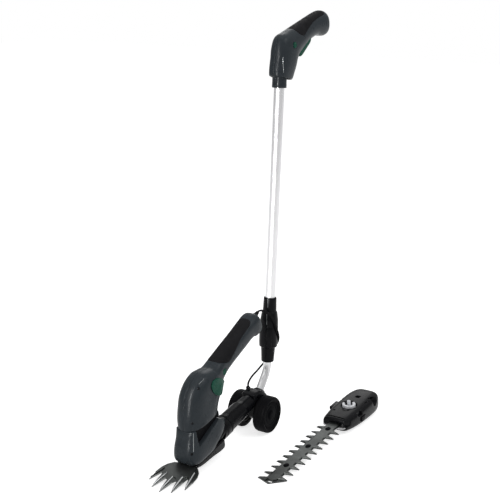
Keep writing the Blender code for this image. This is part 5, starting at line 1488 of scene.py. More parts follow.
@dataclass
class GrassModule:
    """The removable grass blade: housing, comb, moving blade, pivot and latch."""

    matrix: Matrix = field(default_factory=lambda: FRAMES.shear)

    def fork_top(self) -> float:
        """Returns the height of the drive fork's top face."""
        return COMB_BOTTOM + COMB_THICKNESS + CLEARANCE + MOVING_THICKNESS + CLEARANCE + FORK_THICKNESS

    def housing(self) -> None:
        """Builds the black housing with its pockets."""
        piece = BENCH.slab(
            "grass_housing_cover", eased(GRASS_HOUSING, 2.0), -GRASS_HOUSING_HALF, GRASS_HOUSING_HALF,
            self.matrix)
        BENCH.rounded(piece, 2.4, 4, 60.0)
        low, high = LATCH
        BENCH.carve(
            piece,
            BENCH.block("pocket", (-56.0, -19.6, COMB_BOTTOM - CLEARANCE), (10.0, 19.6, 20.0), self.matrix),
            BENCH.block("crank_slot", (-120.0, -8.0, self.fork_top()), (-54.0, 8.0, 20.0), self.matrix),
            BENCH.block(
                "latch_recess", (low[0] - CLEARANCE, low[1] - CLEARANCE, -30.0),
                (high[0] + CLEARANCE, high[1] + CLEARANCE, high[2] + PRESS_TRAVEL + CLEARANCE), self.matrix))
        BENCH.finish(piece, Finish.BLACK, "grass_module", ["grass_module_housing"])
        ribs(
            "grass_housing_ribs", self.matrix, (-40.0, GRASS_HOUSING_HALF - 0.1, -3.4), (-7.0, 0.0, -0.5),
            (1.6, 0.8, 6.0), 5, 0.25, Finish.BLACK, "grass_module")

    def plate(self, name: str, node: str, body: str, shape: GrassBlade, ground: Finish) -> None:
        """Builds one fan blade and grinds the flanks of its teeth.

        Args:
            name: The piece's name.
            node: The CAD node that it stands for.
            body: The body that it rides on.
            shape: Its sizes.
            ground: The finish of the ground flanks.
        """
        last = len(GRASS_TIPS) - 1
        outline = [(u, -half) for u, half in shape.spans]
        lefts, rights, outer = [], [], []
        for index, (u, y, fan) in enumerate(GRASS_TIPS):
            along = Vector((math.cos(math.radians(fan)), math.sin(math.radians(fan))))
            sideways = Vector((-along.y, along.x))
            tip = Vector((u, y)) - shape.pull * along
            base = Vector((u, y)) - GRASS_TOOTH_LENGTH * along
            right = (tip - 0.8 * sideways, base - shape.root * sideways)
            left = (base + shape.root * sideways, tip + 0.8 * sideways)
            if shape.pull:
                left = (tip - GRASS_EDGE_LENGTH * along - GRASS_EDGE_SHIFT * sideways, tip + 0.8 * sideways)
            if index > 0:
                outline += [
                    tuple(before_left + (right[1] - before_left) / 2.0 - 2.2 * along), tuple(right[1])]
                rights.append(right)
            else:
                outer.append((right[0], Vector(outline[-1])))
            outline += [tuple(right[0]), tuple(left[1])]
            if index < last:
                outline.append(tuple(left[0]))
                lefts.append(left)
            else:
                outer.append((Vector(shape.spans[-1]), left[1]))
            before_left = left[0]
        outline += [(u, half) for u, half in reversed(shape.spans)]
        top = shape.bottom + shape.thickness
        piece = BENCH.slab(name, outline, shape.bottom, top, self.matrix, "z")
        pivot = (BLADE_PIVOT_U, 0.0, -6.0)
        tools = [BENCH.bore(pivot, UP, BLADE_PIVOT_RADIUS + CLEARANCE, 15.0, self.matrix, 32)]
        for flanks in (lefts[1:], outer[1:]) if shape.pull else (lefts, rights, outer):
            length = (flanks[0][1] - flanks[0][0]).length + 1.0
            cutter = flank_cutter(length, 1.5, shape.thickness * 0.7)
            points = [(*(start - (end - start).normalized() * 0.5), 0.0) for start, end in flanks]
            turns = [(0.0, 0.0, math.atan2(end.y - start.y, end.x - start.x)) for start, end in flanks]
            grinding = copies("grinding", cutter, points, turns, 1.0, Finish.EDGE)
            grinding.data.transform(self.matrix @ Matrix.Translation((0.0, 0.0, top)))
            tools.append(grinding)
        BENCH.carve(piece, *tools)
        BENCH.cleaned(piece)
        ground_edges(piece, self.matrix, Finish.BLADE, ground)
        BENCH.seat(piece, body, [node], angle=0.5)

    def blades(self) -> None:
        """Builds the comb and the moving blade."""
        self.plate(
            "grass_comb_plate", "grass_comb_blade", "grass_module",
            GrassBlade(
                0.0, 6.2, COMB_BOTTOM, COMB_THICKNESS,
                ((-54.0, 16.0), (-6.2, 19.2), (-5.4, 25.5), (4.5, 34.5), (16.0, 39.2), (34.0, 41.0))),
            Finish.COMB_EDGE)
        self.plate(
            "grass_moving_plate", "grass_moving_blade", "grass_swing_body",
            GrassBlade(
                4.5, 5.4, COMB_BOTTOM + COMB_THICKNESS + CLEARANCE, MOVING_THICKNESS,
                ((-50.0, 8.0), (-4.2, 16.0), (-3.4, 22.5), (9.0, 29.0))), Finish.EDGE)

    def pivot_and_latch(self) -> None:
        """Builds the pivot's turned head and the latch with its grip lines."""
        head = COMB_THICKNESS + CLEARANCE + MOVING_THICKNESS + CLEARANCE
        profile = (
            (BLADE_PIVOT_RADIUS, 0.0), (BLADE_PIVOT_RADIUS, head), (4.6, head), (4.6, head + 0.8),
            (3.2, head + 1.5), (0.01, head + 1.5))
        piece = BENCH.turned("pivot_pin", (BLADE_PIVOT_U, 0.0, COMB_BOTTOM), UP, profile, self.matrix, 40)
        BENCH.finish(piece, Finish.STEEL, "grass_module", ["grass_blade_pivot"])
        low, high = LATCH
        piece = BENCH.block("latch_pad", low, high, self.matrix)
        BENCH.rounded(piece, 1.2, 4)
        BENCH.finish(piece, Finish.BLACK_FINE, "grass_latch_body", ["grass_module_latch"])
        ribs(
            "latch_grip_lines", self.matrix, (-94.0, 0.0, low[2] + 0.1), (2.5, 0.0, 0.0), (0.9, 14.0, 0.8),
            5, 0.2, Finish.BLACK_FINE, "grass_latch_body")

    def build(self) -> None:
        """Builds all of the module."""
        self.housing()
        self.blades()
        self.pivot_and_latch()
        LOG.info("grass module built")


# Carriage, in the product frame
WHEEL_RADIUS = 36.0
WHEEL_INNER = 16.6
WHEEL_OUTER = 41.8
RIM_RADIUS = 26.5
RIM_INNER_RADIUS = 21.5
RIM_DISH = 7.4
RIM_LIP = 1.7
HUB_RADIUS = 8.0
AXLE_BORE = 3.3
CAP_RADIUS = 26.2
CAP_FACE = 38.6
BOSS_BORE = 5.5
CAP_INNER = 40.3
BRACKET_HALF = 15.8
BRACKET_PROFILE = (
    (24, 79.4), (12, 82.4), (0, 82.6), (-10.8, 78.6), (-25.2, 65.8), (-25, 50), (-18.5, 33), (-8, 22),
    (6, 21.5), (15, 30), (18.1, 45.6),
)
SOCKET_MOUTH = (-19.0, 72.1)
SOCKET_BORE_DEPTH = 22.0
TUBE_FOOT_LEAN = -40.8
TUBE_BEND_RADIUS = 50.0
TUBE_RADIUS = 8.0
TUBE_WALL = 1.0
TUBE_TOP = 480.0
BUTTON_BORE = 2.9
GROMMET_FOOT = (13.0, -7.2, 74.0)
GROMMET_DIRECTION = (-0.5, -0.25, 0.829)
ADAPTER_REAR = -221.7


def lean_direction(degrees: float) -> Vector:
    """Returns the upward direction of a lean about the Y axis."""
    return Vector((math.sin(math.radians(degrees)), 0.0, math.cos(math.radians(degrees))))


@dataclass
class Wheel:
    """One wheel: rim with its slots, tyre and ringed cap.

    Attributes:
        side: Which side of the carriage it stands on.
    """

    side: Side

    def round_piece(self, name: str, profile: Outline, hollow: bool, ease: float) -> Body:
        """Turns a profile about the axle, outward on this wheel's side."""
        return BENCH.turned(
            name, (0.0, 0.0, WHEEL_RADIUS), (0.0, self.side.value, 0.0), eased(profile, ease, hollow, 3),
            FRAMES.product, 96, hollow)

    def rim(self, label: str) -> Body:
        """Builds the rim and cuts its slots.

        Args:
            label: The side in lower case.

        Returns:
            The rim.
        """
        outer = CAP_INNER - CLEARANCE
        seat = CAP_FACE - 1.4 - CLEARANCE
        profile = (
            (AXLE_BORE, BRACKET_HALF + CLEARANCE), (HUB_RADIUS, BRACKET_HALF + CLEARANCE),
            (HUB_RADIUS, WHEEL_INNER + RIM_DISH), (RIM_INNER_RADIUS, WHEEL_INNER + RIM_DISH),
            (RIM_INNER_RADIUS + 1.5, WHEEL_INNER + RIM_LIP), (RIM_RADIUS, WHEEL_INNER + RIM_LIP),
            (RIM_RADIUS, seat), (RIM_INNER_RADIUS + 2.5, seat),
            (RIM_INNER_RADIUS + 1.0, WHEEL_OUTER - RIM_DISH), (HUB_RADIUS, WHEEL_OUTER - RIM_DISH),
            (HUB_RADIUS, seat), (BOSS_BORE - CLEARANCE, seat), (BOSS_BORE - CLEARANCE, outer),
            (AXLE_BORE, outer))
        piece = self.round_piece(f"rim_{label}", profile, True, 0.6)
        slots = SPOKE_RING.grow(
            "slots", seeds("slots", [ZERO], [ZERO]),
            {"Count": 6, "Radius": 15.2, "Bar": (8.4, 3.4, 26.0), "Finish": Finish.BLACK.on("slots")})
        turn = Matrix.Rotation(math.radians(90.0), 4, "X")
        middle = self.side.value * (WHEEL_INNER + WHEEL_OUTER) / 2.0
        slots.data.transform(FRAMES.product @ Matrix.Translation((0.0, middle, WHEEL_RADIUS)) @ turn)
        BENCH.rounded(slots, 1.2, 3, 60.0)
        return BENCH.carve(piece, slots)

    def build(self) -> None:
        """Builds all of the wheel."""
        label = self.side.name.lower()
        body = f"wheel_{label}"
        BENCH.finish(self.rim(label), Finish.BLACK, body, [f"wheel_rim_{label}"])
        inner = RIM_RADIUS + CLEARANCE
        face = WHEEL_OUTER
        tyre = (
            (inner, WHEEL_INNER), (WHEEL_RADIUS - 3.5, WHEEL_INNER), (WHEEL_RADIUS - 1.0, WHEEL_INNER + 1.2),
            (WHEEL_RADIUS, WHEEL_INNER + 4.0), (WHEEL_RADIUS, WHEEL_INNER + 8.8),
            (WHEEL_RADIUS - 0.35, WHEEL_INNER + 9.1), (WHEEL_RADIUS - 0.35, WHEEL_INNER + 9.7),
            (WHEEL_RADIUS, WHEEL_INNER + 10.0), (WHEEL_RADIUS, face - 9.0),
            (WHEEL_RADIUS - 0.35, face - 8.7), (WHEEL_RADIUS - 0.35, face - 8.1), (WHEEL_RADIUS, face - 7.8),
            (WHEEL_RADIUS, face - 4.0), (WHEEL_RADIUS - 1.0, face - 1.2), (WHEEL_RADIUS - 3.0, face),
            (WHEEL_RADIUS - 4.2, face), (WHEEL_RADIUS - 5.2, face - 0.9), (inner + 0.9, CAP_FACE),
            (inner, CAP_FACE))
        BENCH.finish(
            self.round_piece(f"tyre_tread_{label}", tyre, True, 0.5), Finish.TYRE, body, [f"tyre_{label}"])
        below = CAP_FACE - 1.4
        cap = (
            (0.01, CAP_INNER), (BOSS_BORE, CAP_INNER), (BOSS_BORE, below), (CAP_RADIUS, below),
            (CAP_RADIUS, CAP_FACE - 0.6), (CAP_RADIUS - 0.8, CAP_FACE), (20.0, CAP_FACE),
            (19.4, CAP_FACE - 0.4), (18.6, CAP_FACE - 0.4), (18.0, CAP_FACE), (10.5, CAP_FACE + 0.4),
            (8.0, CAP_INNER + 0.6), (6.0, CAP_INNER + 1.0), (0.01, CAP_INNER + 1.2))
        BENCH.finish(
            self.round_piece(f"cap_{label}", cap, False, 0.35), Finish.DEEP, body, [f"hub_cap_{label}"])
        LOG.info("wheel %s built", label)


@dataclass
class Carriage:
    """The adapter sleeve, the bracket between the wheels, the grommet and the lower tube."""

    body: str = "carriage"

    def sleeve(self) -> None:
        """Builds the sleeve that plugs into the receiver ring, with its lip and mould lines."""
        spigot_end = RING_REAR + SPIGOT_LENGTH - CLEARANCE
        flange = SPIGOT_LENGTH
        length = spigot_end - ADAPTER_REAR
        profile = (
            (0.01, 0.0), (SPIGOT_RADIUS - 1.0, 0.0), (SPIGOT_RADIUS, 1.0), (SPIGOT_RADIUS, flange),
            (19.4, flange), (20.4, flange + 1.2), (20.4, flange + 6.0), (18.9, flange + 6.9),
            (18.75, flange + 14.0), (18.4, flange + 14.4), (18.4, flange + 15.2), (18.7, flange + 15.6),
            (18.2, length - 34.0), (17.0, length - 28.6), (16.2, length - 24.0), (15.9, length - 10.0),
            (15.6, length - 1.2), (14.8, length), (0.01, length))
        piece = BENCH.turned(
            "adapter_barrel", (spigot_end, 0.0, RING_AXIS_W), (-1.0, 0.0, 0.0),
            eased(profile, 0.6, False, 3), FRAMES.shear, 96)
        BENCH.finish(piece, Finish.BLACK, self.body, ["adapter_sleeve"])
        skin = Surface(piece)
        for number, height in enumerate((4.0, -7.0)):
            spots = [
                skin.local(
                    FRAMES.shear, (RING_REAR - 9.0 - 4.6 * step, 60.0, RING_AXIS_W + height),
                    (0.0, -1.0, 0.0)) for step in range(10)]
            bead(f"adapter_mould_line_{number}", spots, 0.45, 0.2, Finish.BLACK, self.body)

    def bracket(self) -> None:
        """Builds the bracket, bored for the axle and the tube, with the tube's collar ring."""
        matrix = FRAMES.product
        piece = BENCH.slab("wheel_bracket", eased(BRACKET_PROFILE, 3.0), -BRACKET_HALF, BRACKET_HALF, matrix)
        BENCH.rounded(piece, 4.2, 5, 50.0)
        up = lean_direction(TUBE_FOOT_LEAN)
        mouth = Vector(upright(SOCKET_MOUTH))
        ring = BENCH.turned(
            "mouth_ring", mouth, up,
            eased(((11.6, -9.0), (11.6, 1.2), (9.0, 2.6), (0.01, 2.6), (0.01, -9.0)), 0.8, False), matrix,
            64)
        holes = (
            BENCH.bore(mouth - SOCKET_BORE_DEPTH * up, up, TUBE_RADIUS + CLEARANCE, 50.0, matrix, 48),
            BENCH.bore((0.0, -30.0, WHEEL_RADIUS), LEFTWARD, AXLE_BORE, 60.0, matrix),
            BENCH.turned(
                "grommet_hole", GROMMET_FOOT, GROMMET_DIRECTION, ((3.9, -1.0), (3.9, 20.0)), matrix, 32))
        BENCH.cut(piece, [("UNION", ring), *(("DIFFERENCE", hole) for hole in holes)])
        BENCH.finish(piece, Finish.BLACK, self.body, ["carriage_bracket"])
        skin = Surface(piece)
        spots = [
            skin.local(matrix, (19.0 - 3.6 * step, 60.0, 74.0 - 3.6 * step), (0.0, -1.0, 0.0))
            for step in range(10)]
        bead("bracket_diagonal_rib", spots, 1.1, 0.5, Finish.BLACK, self.body)

    def grommet(self) -> None:
        """Builds the ribbed strain relief where the lead leaves the bracket."""
        profile = (
            (0.01, 0.0), (3.6, 0.0), (3.6, 13.8), (4.6, 13.8), (4.6, 14.6), (3.7, 15.0), (3.7, 15.3),
            (3.2, 15.5), (3.2, 15.8), (2.6, 16.0), (0.01, 16.0))
        piece = BENCH.turned(
            "lead_strain_relief", GROMMET_FOOT, GROMMET_DIRECTION, profile, FRAMES.product, 40)
        BENCH.finish(piece, Finish.SKIN, self.body, ["lead_grommet"])

    def tube_path(self, bends: int = 28) -> list[tuple[Vector, Vector]]:
        """Returns the centre line of the lower tube with its direction at each point, foot first.

        Args:
            bends: Steps of the bend.

        Returns:
            Pairs of a point and its direction.
        """
        foot_up = lean_direction(TUBE_FOOT_LEAN)
        pole_up = lean_direction(Frames.POLE_LEAN)
        mouth = Vector(upright(SOCKET_MOUTH))
        base = Vector(Frames.POLE_FOOT)
        cross = foot_up.x * pole_up.z - foot_up.z * pole_up.x
        reach = ((base.x - mouth.x) * pole_up.z - (base.z - mouth.z) * pole_up.x) / cross
        half_turn = math.radians(Frames.POLE_LEAN - TUBE_FOOT_LEAN) / 2.0
        start = mouth + (reach - TUBE_BEND_RADIUS * math.tan(half_turn)) * foot_up
        points = [(mouth - (SOCKET_BORE_DEPTH - 2.0) * foot_up, foot_up), (start, foot_up)]
        place = start.copy()
        step_turn = 2.0 * half_turn / bends
        chord = 2.0 * TUBE_BEND_RADIUS * math.sin(step_turn / 2.0)
        for step in range(1, bends + 1):
            angle = TUBE_FOOT_LEAN + math.degrees(step_turn) * step
            place = place + chord * lean_direction(angle - math.degrees(step_turn) / 2.0)
            points.append((place.copy(), lean_direction(angle)))
        points.append((base + TUBE_TOP * pole_up, pole_up))
        return points

    def lower_tube(self) -> None:
        """Builds the bent lower tube with the hole of its spring button."""
        path = self.tube_path()
        rings = []
        side = Vector(LEFTWARD)
        for radius, ordered in ((TUBE_RADIUS, path), (TUBE_RADIUS - TUBE_WALL, path[::-1])):
            for point, along in ordered:
                rings.append(round_ring(point, radius, side, along.cross(side), 56))
        piece = BENCH.loft("bent_tube", rings, FRAMES.product, closed=True)
        low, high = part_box("tube_spring_button")
        centre = FRAMES.product.inverted() @ ((low + high) / 2.0)
        nearest = min(path, key=lambda pair: (pair[0] - centre).length)
        outward = Vector((nearest[1].z, 0.0, -nearest[1].x))
        BENCH.carve(piece, BENCH.bore(centre - 2.0 * outward, outward, BUTTON_BORE, 8.0, FRAMES.product, 32))
        BENCH.finish(piece, Finish.TUBE, self.body, ["lower_tube"])

    def build(self) -> None:
        """Builds all of the carriage but its wheels."""
        for step in (self.sleeve, self.bracket, self.grommet, self.lower_tube):
            step()
            LOG.info("carriage: %s", step.__name__)


# Pole, in the pole frame
OUTER_TUBE_RADIUS = 10.0
OUTER_TUBE_WALL = 1.2
OUTER_TUBE_FOOT = 42.3
OUTER_TUBE_TOP = 577.0
COLLAR_PROFILE = (
    (8.4, 0), (11.4, 0), (12.6, 1.8), (14.2, 30.2), (15.6, 31.4), (17.8, 32), (18.5, 40), (18.6, 62),
    (17.8, 86), (16.2, 97), (15.4, 102.4), (14.4, 103.2), (13.6, 104.5), (12.8, 130), (12, 132.1),
    (10.3, 132.1), (10.3, 42), (8.4, 42),
)
TONGUE_AZIMUTH = 30.0
TONGUE_HALF = 6.8
TONGUE_LOW = 32.8
TONGUE_HIGH = 73.0
TONGUE_INNER = 16.0
TONGUE_OUTER = 19.5


@dataclass
class Pole:
    """The upper tube with its collar and the collar's release tongue."""

    body: str = "upper_pole"

    def tongue_frame(self) -> Matrix:
        """Returns the pole frame turned so that +X points out through the tongue."""
        return FRAMES.pole @ Matrix.Rotation(math.radians(TONGUE_AZIMUTH), 4, "Z")

    def collar(self) -> None:
        """Builds the collar with the tongue's recess and its raised lines, two of them coloured light as
        painted highlights.
        """
        piece = BENCH.turned("collar_barrel", ZERO, UP, eased(COLLAR_PROFILE, 0.9), FRAMES.pole, 112, True)
        turned = self.tongue_frame()
        half = TONGUE_HALF + CLEARANCE
        floor = TONGUE_INNER - PRESS_TRAVEL - CLEARANCE
        tool = BENCH.block(
            "tongue_recess", (floor, -half, TONGUE_LOW - CLEARANCE), (25.0, half, TONGUE_HIGH + CLEARANCE),
            turned)
        BENCH.carve(piece, tool)
        BENCH.finish(piece, Finish.BLACK_FINE, self.body, ["pole_collar"])
        skin = Surface(piece)
        arch = []
        for step in range(25):
            share = step / 12.0 - 1.0
            angle = math.radians(44.0 * share)
            height = 93.0 - 20.0 * abs(share) ** 1.7
            arch.append(
                skin.local(
                    turned, (40.0 * math.cos(angle), 40.0 * math.sin(angle), height),
                    (-math.cos(angle), -math.sin(angle), 0.0)))
        bead("collar_shield_line", arch, 0.5, 0.2, Finish.BLACK_FINE, self.body)
        # Two short upright beads coloured light as painted highlights.
        for number, (x, first, last) in enumerate(((267.8, 298.8, 307.4), (266.8, 314.2, 324.6))):
            line = skin.line((x, first), (x, last), 8)
            bead(f"collar_mould_line_{number}", line, 0.42, 0.15, Finish.GLINT, self.body)

    def tongue(self) -> None:
        """Builds the release tongue with the grip lines at its top."""
        turned = self.tongue_frame()
        edge = TONGUE_OUTER - 1.4
        quarter = TONGUE_HALF / 2.0
        outline = (
            (TONGUE_INNER, -TONGUE_HALF), (edge, -TONGUE_HALF), (TONGUE_OUTER - 0.3, -quarter),
            (TONGUE_OUTER, 0.0), (TONGUE_OUTER - 0.3, quarter), (edge, TONGUE_HALF),
            (TONGUE_INNER, TONGUE_HALF))
        piece = BENCH.slab("release_tongue", outline, TONGUE_LOW, TONGUE_HIGH, turned, "z")
        BENCH.rounded(piece, 0.9, 3, 30.0)
        BENCH.finish(piece, Finish.BLACK, "collar_button_body", ["collar_release_button"])
        ribs(
            "tongue_grip_lines", turned, (TONGUE_OUTER - 0.5, 0.0, TONGUE_HIGH - 4.0), (0.0, 0.0, -2.6),
            (0.9, 8.6, 1.0), 5, 0.25, Finish.BLACK, "collar_button_body")

    def tube(self) -> None:
        """Builds the upper tube with its chamfered ends."""
        inner = OUTER_TUBE_RADIUS - OUTER_TUBE_WALL
        profile = (
            (inner, OUTER_TUBE_FOOT), (OUTER_TUBE_RADIUS - 0.3, OUTER_TUBE_FOOT),
            (OUTER_TUBE_RADIUS, OUTER_TUBE_FOOT + 0.3), (OUTER_TUBE_RADIUS, OUTER_TUBE_TOP - 0.3),
            (OUTER_TUBE_RADIUS - 0.3, OUTER_TUBE_TOP), (inner, OUTER_TUBE_TOP))
        piece = BENCH.turned("upper_tube", ZERO, UP, profile, FRAMES.pole, 80, True)
        BENCH.finish(piece, Finish.TUBE, self.body, ["outer_tube"])

    def build(self) -> None:
        """Builds all of the pole."""
        for step in (self.collar, self.tongue, self.tube):
            step()
            LOG.info("pole: %s", step.__name__)


# Top handle, in the product frame: (front x, front z, rear x, rear z, half width), grip end first
HANDLE_SQUARENESS = 2.5
HANDLE_WALL = 2.5
HANDLE_STATIONS = (
    (-259, 788.5, -262.5, 760, 13), (-254, 795.5, -258, 753, 16), (-243, 799.5, -248.5, 750, 17.3),
    (-227, 797.5, -237, 750.5, 17.2), (-197, 790, -217, 752, 16.3), (-163, 781, -192, 745, 16.3),
    (-134, 773, -177, 738, 17.6), (-108, 766, -161, 729, 18.8), (-85.5, 758.5, -149, 721.5, 19.8),
    (-76, 740, -140.5, 712.5, 20.3), (-73, 720, -135.5, 702, 20.3), (-68.5, 702, -128.5, 688.5, 19.4),
    (-68, 688, -118.5, 675.5, 17.8),
)
NECK_LEVELS = ((561.5, 14.4), (540.5, 14.0))
NECK_WALL = 3.4
HANDLE_GRIP_REGION = (
    (-122, 800), (-125, 771), (-134, 761), (-152, 756), (-170, 768), (-190, 779), (-214, 787), (-236, 792),
    (-244, 798), (-245, 815),
)
TRIGGER_PROFILE = (
    (-142, 720.5), (-145.5, 717.4), (-153.5, 720), (-183.5, 741), (-187.5, 746.5), (-185, 753), (-179, 756),
    (-148, 737.5),
)
TRIGGER_HALF = 13.5
TRIGGER_PIVOT = (-185.0, 747.0)
TRIGGER_SWING = 5.0
TRIGGER_CLEARANCE = 1.0
HANDLE_LOCK = (-112.0, 742.0)
HANDLE_LOCK_RADIUS = 5.6
HANDLE_LOCK_INNER = 13.0
HANDLE_LOCK_HEIGHT = 8.4


def swung(outline: Outline, pivot: tuple[float, float], degrees: float) -> list[tuple[float, float]]:
    """Returns the outline turned about a pivot, from +X toward +Z."""
    turn = Matrix.Rotation(math.radians(degrees), 2)
    return [tuple(Vector(pivot) + turn @ (Vector(point) - Vector(pivot))) for point in outline]


@dataclass
class TopHandle:
    """The handle on top of the pole: shells, skin, trigger and lock button."""

    body: str = "upper_pole"
    matrix: Matrix = field(default_factory=lambda: FRAMES.product)

    def neck(self, shrink: float) -> tuple[tuple[float, ...], ...]:
        """Returns the round sections about the tube, top first, drawn in by a distance.

        Args:
            shrink: How far they are drawn in.

        Returns:
            The sections.
        """
        up = lean_direction(Frames.POLE_LEAN)
        front = Vector((up.z, 0.0, -up.x))
        rows = []
        for distance, radius in NECK_LEVELS:
            centre = Vector(Frames.POLE_FOOT) + distance * up
            first = centre + (radius - shrink) * front
            second = centre - (radius - shrink) * front
            rows.append((first.x, first.z, second.x, second.z, radius - shrink, 2.0))
        return tuple(rows)

    def __post_init__(self) -> None:
        """Makes the hulls that all its pieces share."""
        self.rows = sections(HANDLE_STATIONS, HANDLE_SQUARENESS)
        self.hull = Hull(self.rows + self.neck(0.0), self.matrix)
        self.grip_hull = Hull(self.rows, self.matrix)

    def recess(self) -> Body:
        """Returns the cutter of the skin's bed."""
        region = across(self.matrix, "handle_bed", eased(HANDLE_GRIP_REGION, 6.0))
        return BENCH.carve(region, self.grip_hull.body("bed_floor", -SKIN_DEPTH - CLEARANCE))

    def slot(self) -> Body:
        """Returns the cutter of the trigger's slot, which covers its whole swing."""
        pressed = swung(TRIGGER_PROFILE, TRIGGER_PIVOT, TRIGGER_SWING)
        swept = [*TRIGGER_PROFILE[:-1], pressed[-1], pressed[0]]
        return across(
            self.matrix, "trigger_slot", grown_outline(swept, TRIGGER_CLEARANCE), TRIGGER_HALF + CLEARANCE)

    def lock_hole(self) -> Body:
        """Returns the cutter of the lock button's hole."""
        return BENCH.bore(
            upright(HANDLE_LOCK, 8.0), LEFTWARD, HANDLE_LOCK_RADIUS + CLEARANCE, 20.0, self.matrix)

    def shells(self) -> None:
        """Builds both halves, with screw wells in the right one."""
        first = toward(self.rows[0], self.rows[1], TAIL_WALL)
        foot = self.neck(NECK_WALL - HANDLE_WALL)
        below = Vector(foot[1][:2]) + (Vector(foot[1][:2]) - Vector(foot[0][:2])) * 0.2
        behind = Vector(foot[1][2:4]) + (Vector(foot[1][2:4]) - Vector(foot[0][2:4])) * 0.2
        cavity = Hull((first, *self.rows[1:], *foot, (*below, *behind, *foot[1][4:])), self.matrix)
        moulding = Moulding("handle_shell_half", self.hull, cavity, HANDLE_WALL, self.body)
        left = moulding.half(Side.LEFT, (self.recess, self.slot, self.lock_hole))
        right = moulding.half(Side.RIGHT, (self.recess, self.slot))
        skin = Surface(right)
        spots = [
            skin.local(self.matrix, (x, -90.0, z), LEFTWARD)
            for x, z in ((-240.0, 764.0), (-96.0, 748.0), (-112.0, 700.0), (-88.0, 682.0))]
        BENCH.carve(right, *(well(spot, 2.5, 1.8) for spot in spots))
        for piece in (left, right):
            BENCH.rounded(piece, 0.35, 2, 45.0)
            BENCH.finish(piece, Finish.SLATE, self.body, [piece.name.replace("_half", "")])
        sunk = [(place - normal * 1.8 * MM, normal) for place, normal in spots]
        on_spots("handle_screws", screw_template(2.0), sunk, 0.1, Finish.DARK_STEEL, self.body)
        # Two raised lines down the front, coloured light as painted highlights.
        front = Surface(left, right)
        for number, (x, lean, first, last) in enumerate(((282.9, 0.7, 57.5, 72.5), (277.8, 0.0, 77.2, 85.2))):
            line = front.line((x, first), (x + lean, last), 9)
            bead(f"handle_front_ridge_{number}", line, 0.7 - 0.2 * number, 0.3, Finish.GLINT, self.body)

    def fittings(self) -> None:
        """Builds the skin, the trigger and the lock button."""
        piece = self.grip_hull.body("handle_skin", SKIN_PROUD)
        region = across(
            self.matrix, "skin_region", eased(grown_outline(HANDLE_GRIP_REGION, -2.0 * CLEARANCE), 6.0))
        BENCH.cut(
            piece, [("INTERSECT", region), ("DIFFERENCE", self.grip_hull.body("skin_floor", -SKIN_DEPTH))])
        BENCH.rounded(piece, 0.5, 2, 50.0)
        BENCH.finish(piece, Finish.SKIN, self.body, ["handle_soft_grip"])
        piece = across(self.matrix, "trigger_blade", eased(TRIGGER_PROFILE, 2.4), TRIGGER_HALF)
        BENCH.rounded(piece, 1.2, 4, 60.0)
        BENCH.finish(piece, Finish.GREEN, "handle_trigger_body", ["handle_trigger"])
        radius, height = HANDLE_LOCK_RADIUS, HANDLE_LOCK_HEIGHT
        profile = (
            (0.01, 0.0), (radius, 0.0), (radius, height - 0.6), (radius - 0.8, height),
            (radius - 1.9, height), (radius - 2.3, height - 0.5), (0.01, height - 0.2))
        piece = BENCH.turned(
            "handle_lock_top", upright(HANDLE_LOCK, HANDLE_LOCK_INNER), LEFTWARD, eased(profile, 0.5, False),
            self.matrix, 48)
        BENCH.finish(piece, Finish.GREEN, "handle_lock_body", ["handle_lock_button"])

    def build(self) -> None:
        """Builds all of the handle."""
        self.shells()
        self.fittings()
        LOG.info("top handle built")


LEAD_DIAMETER = 3.8
LEAD_ROUTE = (
    (4.6, -11.4, 87.9), (1.2, -13.2, 91.2), (-7, -16.2, 93.2), (-20, -20, 94.8), (-34, -21.5, 98),
    (-46, -21.5, 101), (-57.5, -20.5, 106), (-67.5, -17, 114), (-74, -8.5, 130), (-73.8, 3.5, 149),
    (-66.6, 15, 166), (-56.5, 20.8, 183), (-48, 21.2, 199), (-42.8, 18.8, 213), (-38, 14.4, 225.5),
    (-31, 8, 234), (-24, 2.9, 238.4), (-17, 0.6, 239.2), (-11.4, 0, 237.7),
)


@dataclass
class Lead:
    """The lead from the carriage to the shear's tail, and its moulded plug."""

    body: str = "carriage"

    def build(self) -> None:
        """Builds the cord along its route and the ribbed plug at its end."""
        points = [FRAMES.product @ Vector(point) for point in spanned(LEAD_ROUTE, 8)]
        curve = bpy.data.curves.new("lead_cord", "CURVE")
        curve.dimensions = "3D"
        curve.bevel_depth = LEAD_DIAMETER / 2.0 * MM
        curve.bevel_resolution = 6
        curve.use_fill_caps = True
        spline = curve.splines.new("POLY")
        spline.points.add(len(points) - 1)
        for slot, point in zip(spline.points, points):
            slot.co = (*point, 1.0)
        spline.use_smooth = True
        cord = bpy.data.objects.new("lead_cord", curve)
        bpy.context.scene.collection.objects.link(cord)
        curve.materials.append(Finish.CORD.on("lead_cord"))
        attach(cord, self.body)
        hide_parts("lead")
        body = (
            (0.01, -6.0), (3.4, -6.0), (3.4, 1.3), (5.2, 1.3), (5.8, 1.9), (5.8, 3.4), (5.4, 3.7),
            (5.4, 4.3), (5.8, 4.6), (5.5, 8.2), (4.6, 9.2), (4.1, 9.6), (4.1, 10.2), (4.4, 10.5),
            (4.2, 11.4), (3.7, 11.7), (3.7, 12.3), (4.0, 12.6), (3.8, 13.4), (3.2, 13.7), (3.2, 14.3),
            (3.5, 14.6), (3.0, 17.6), (0.01, 17.6))
        plug = BENCH.turned(
            "lead_connector", upright(SOCKET_CENTRE), upright(SOCKET_DIRECTION), body, FRAMES.shear, 40)
        BENCH.finish(plug, Finish.SKIN, "shear_unit", ["lead_plug"])


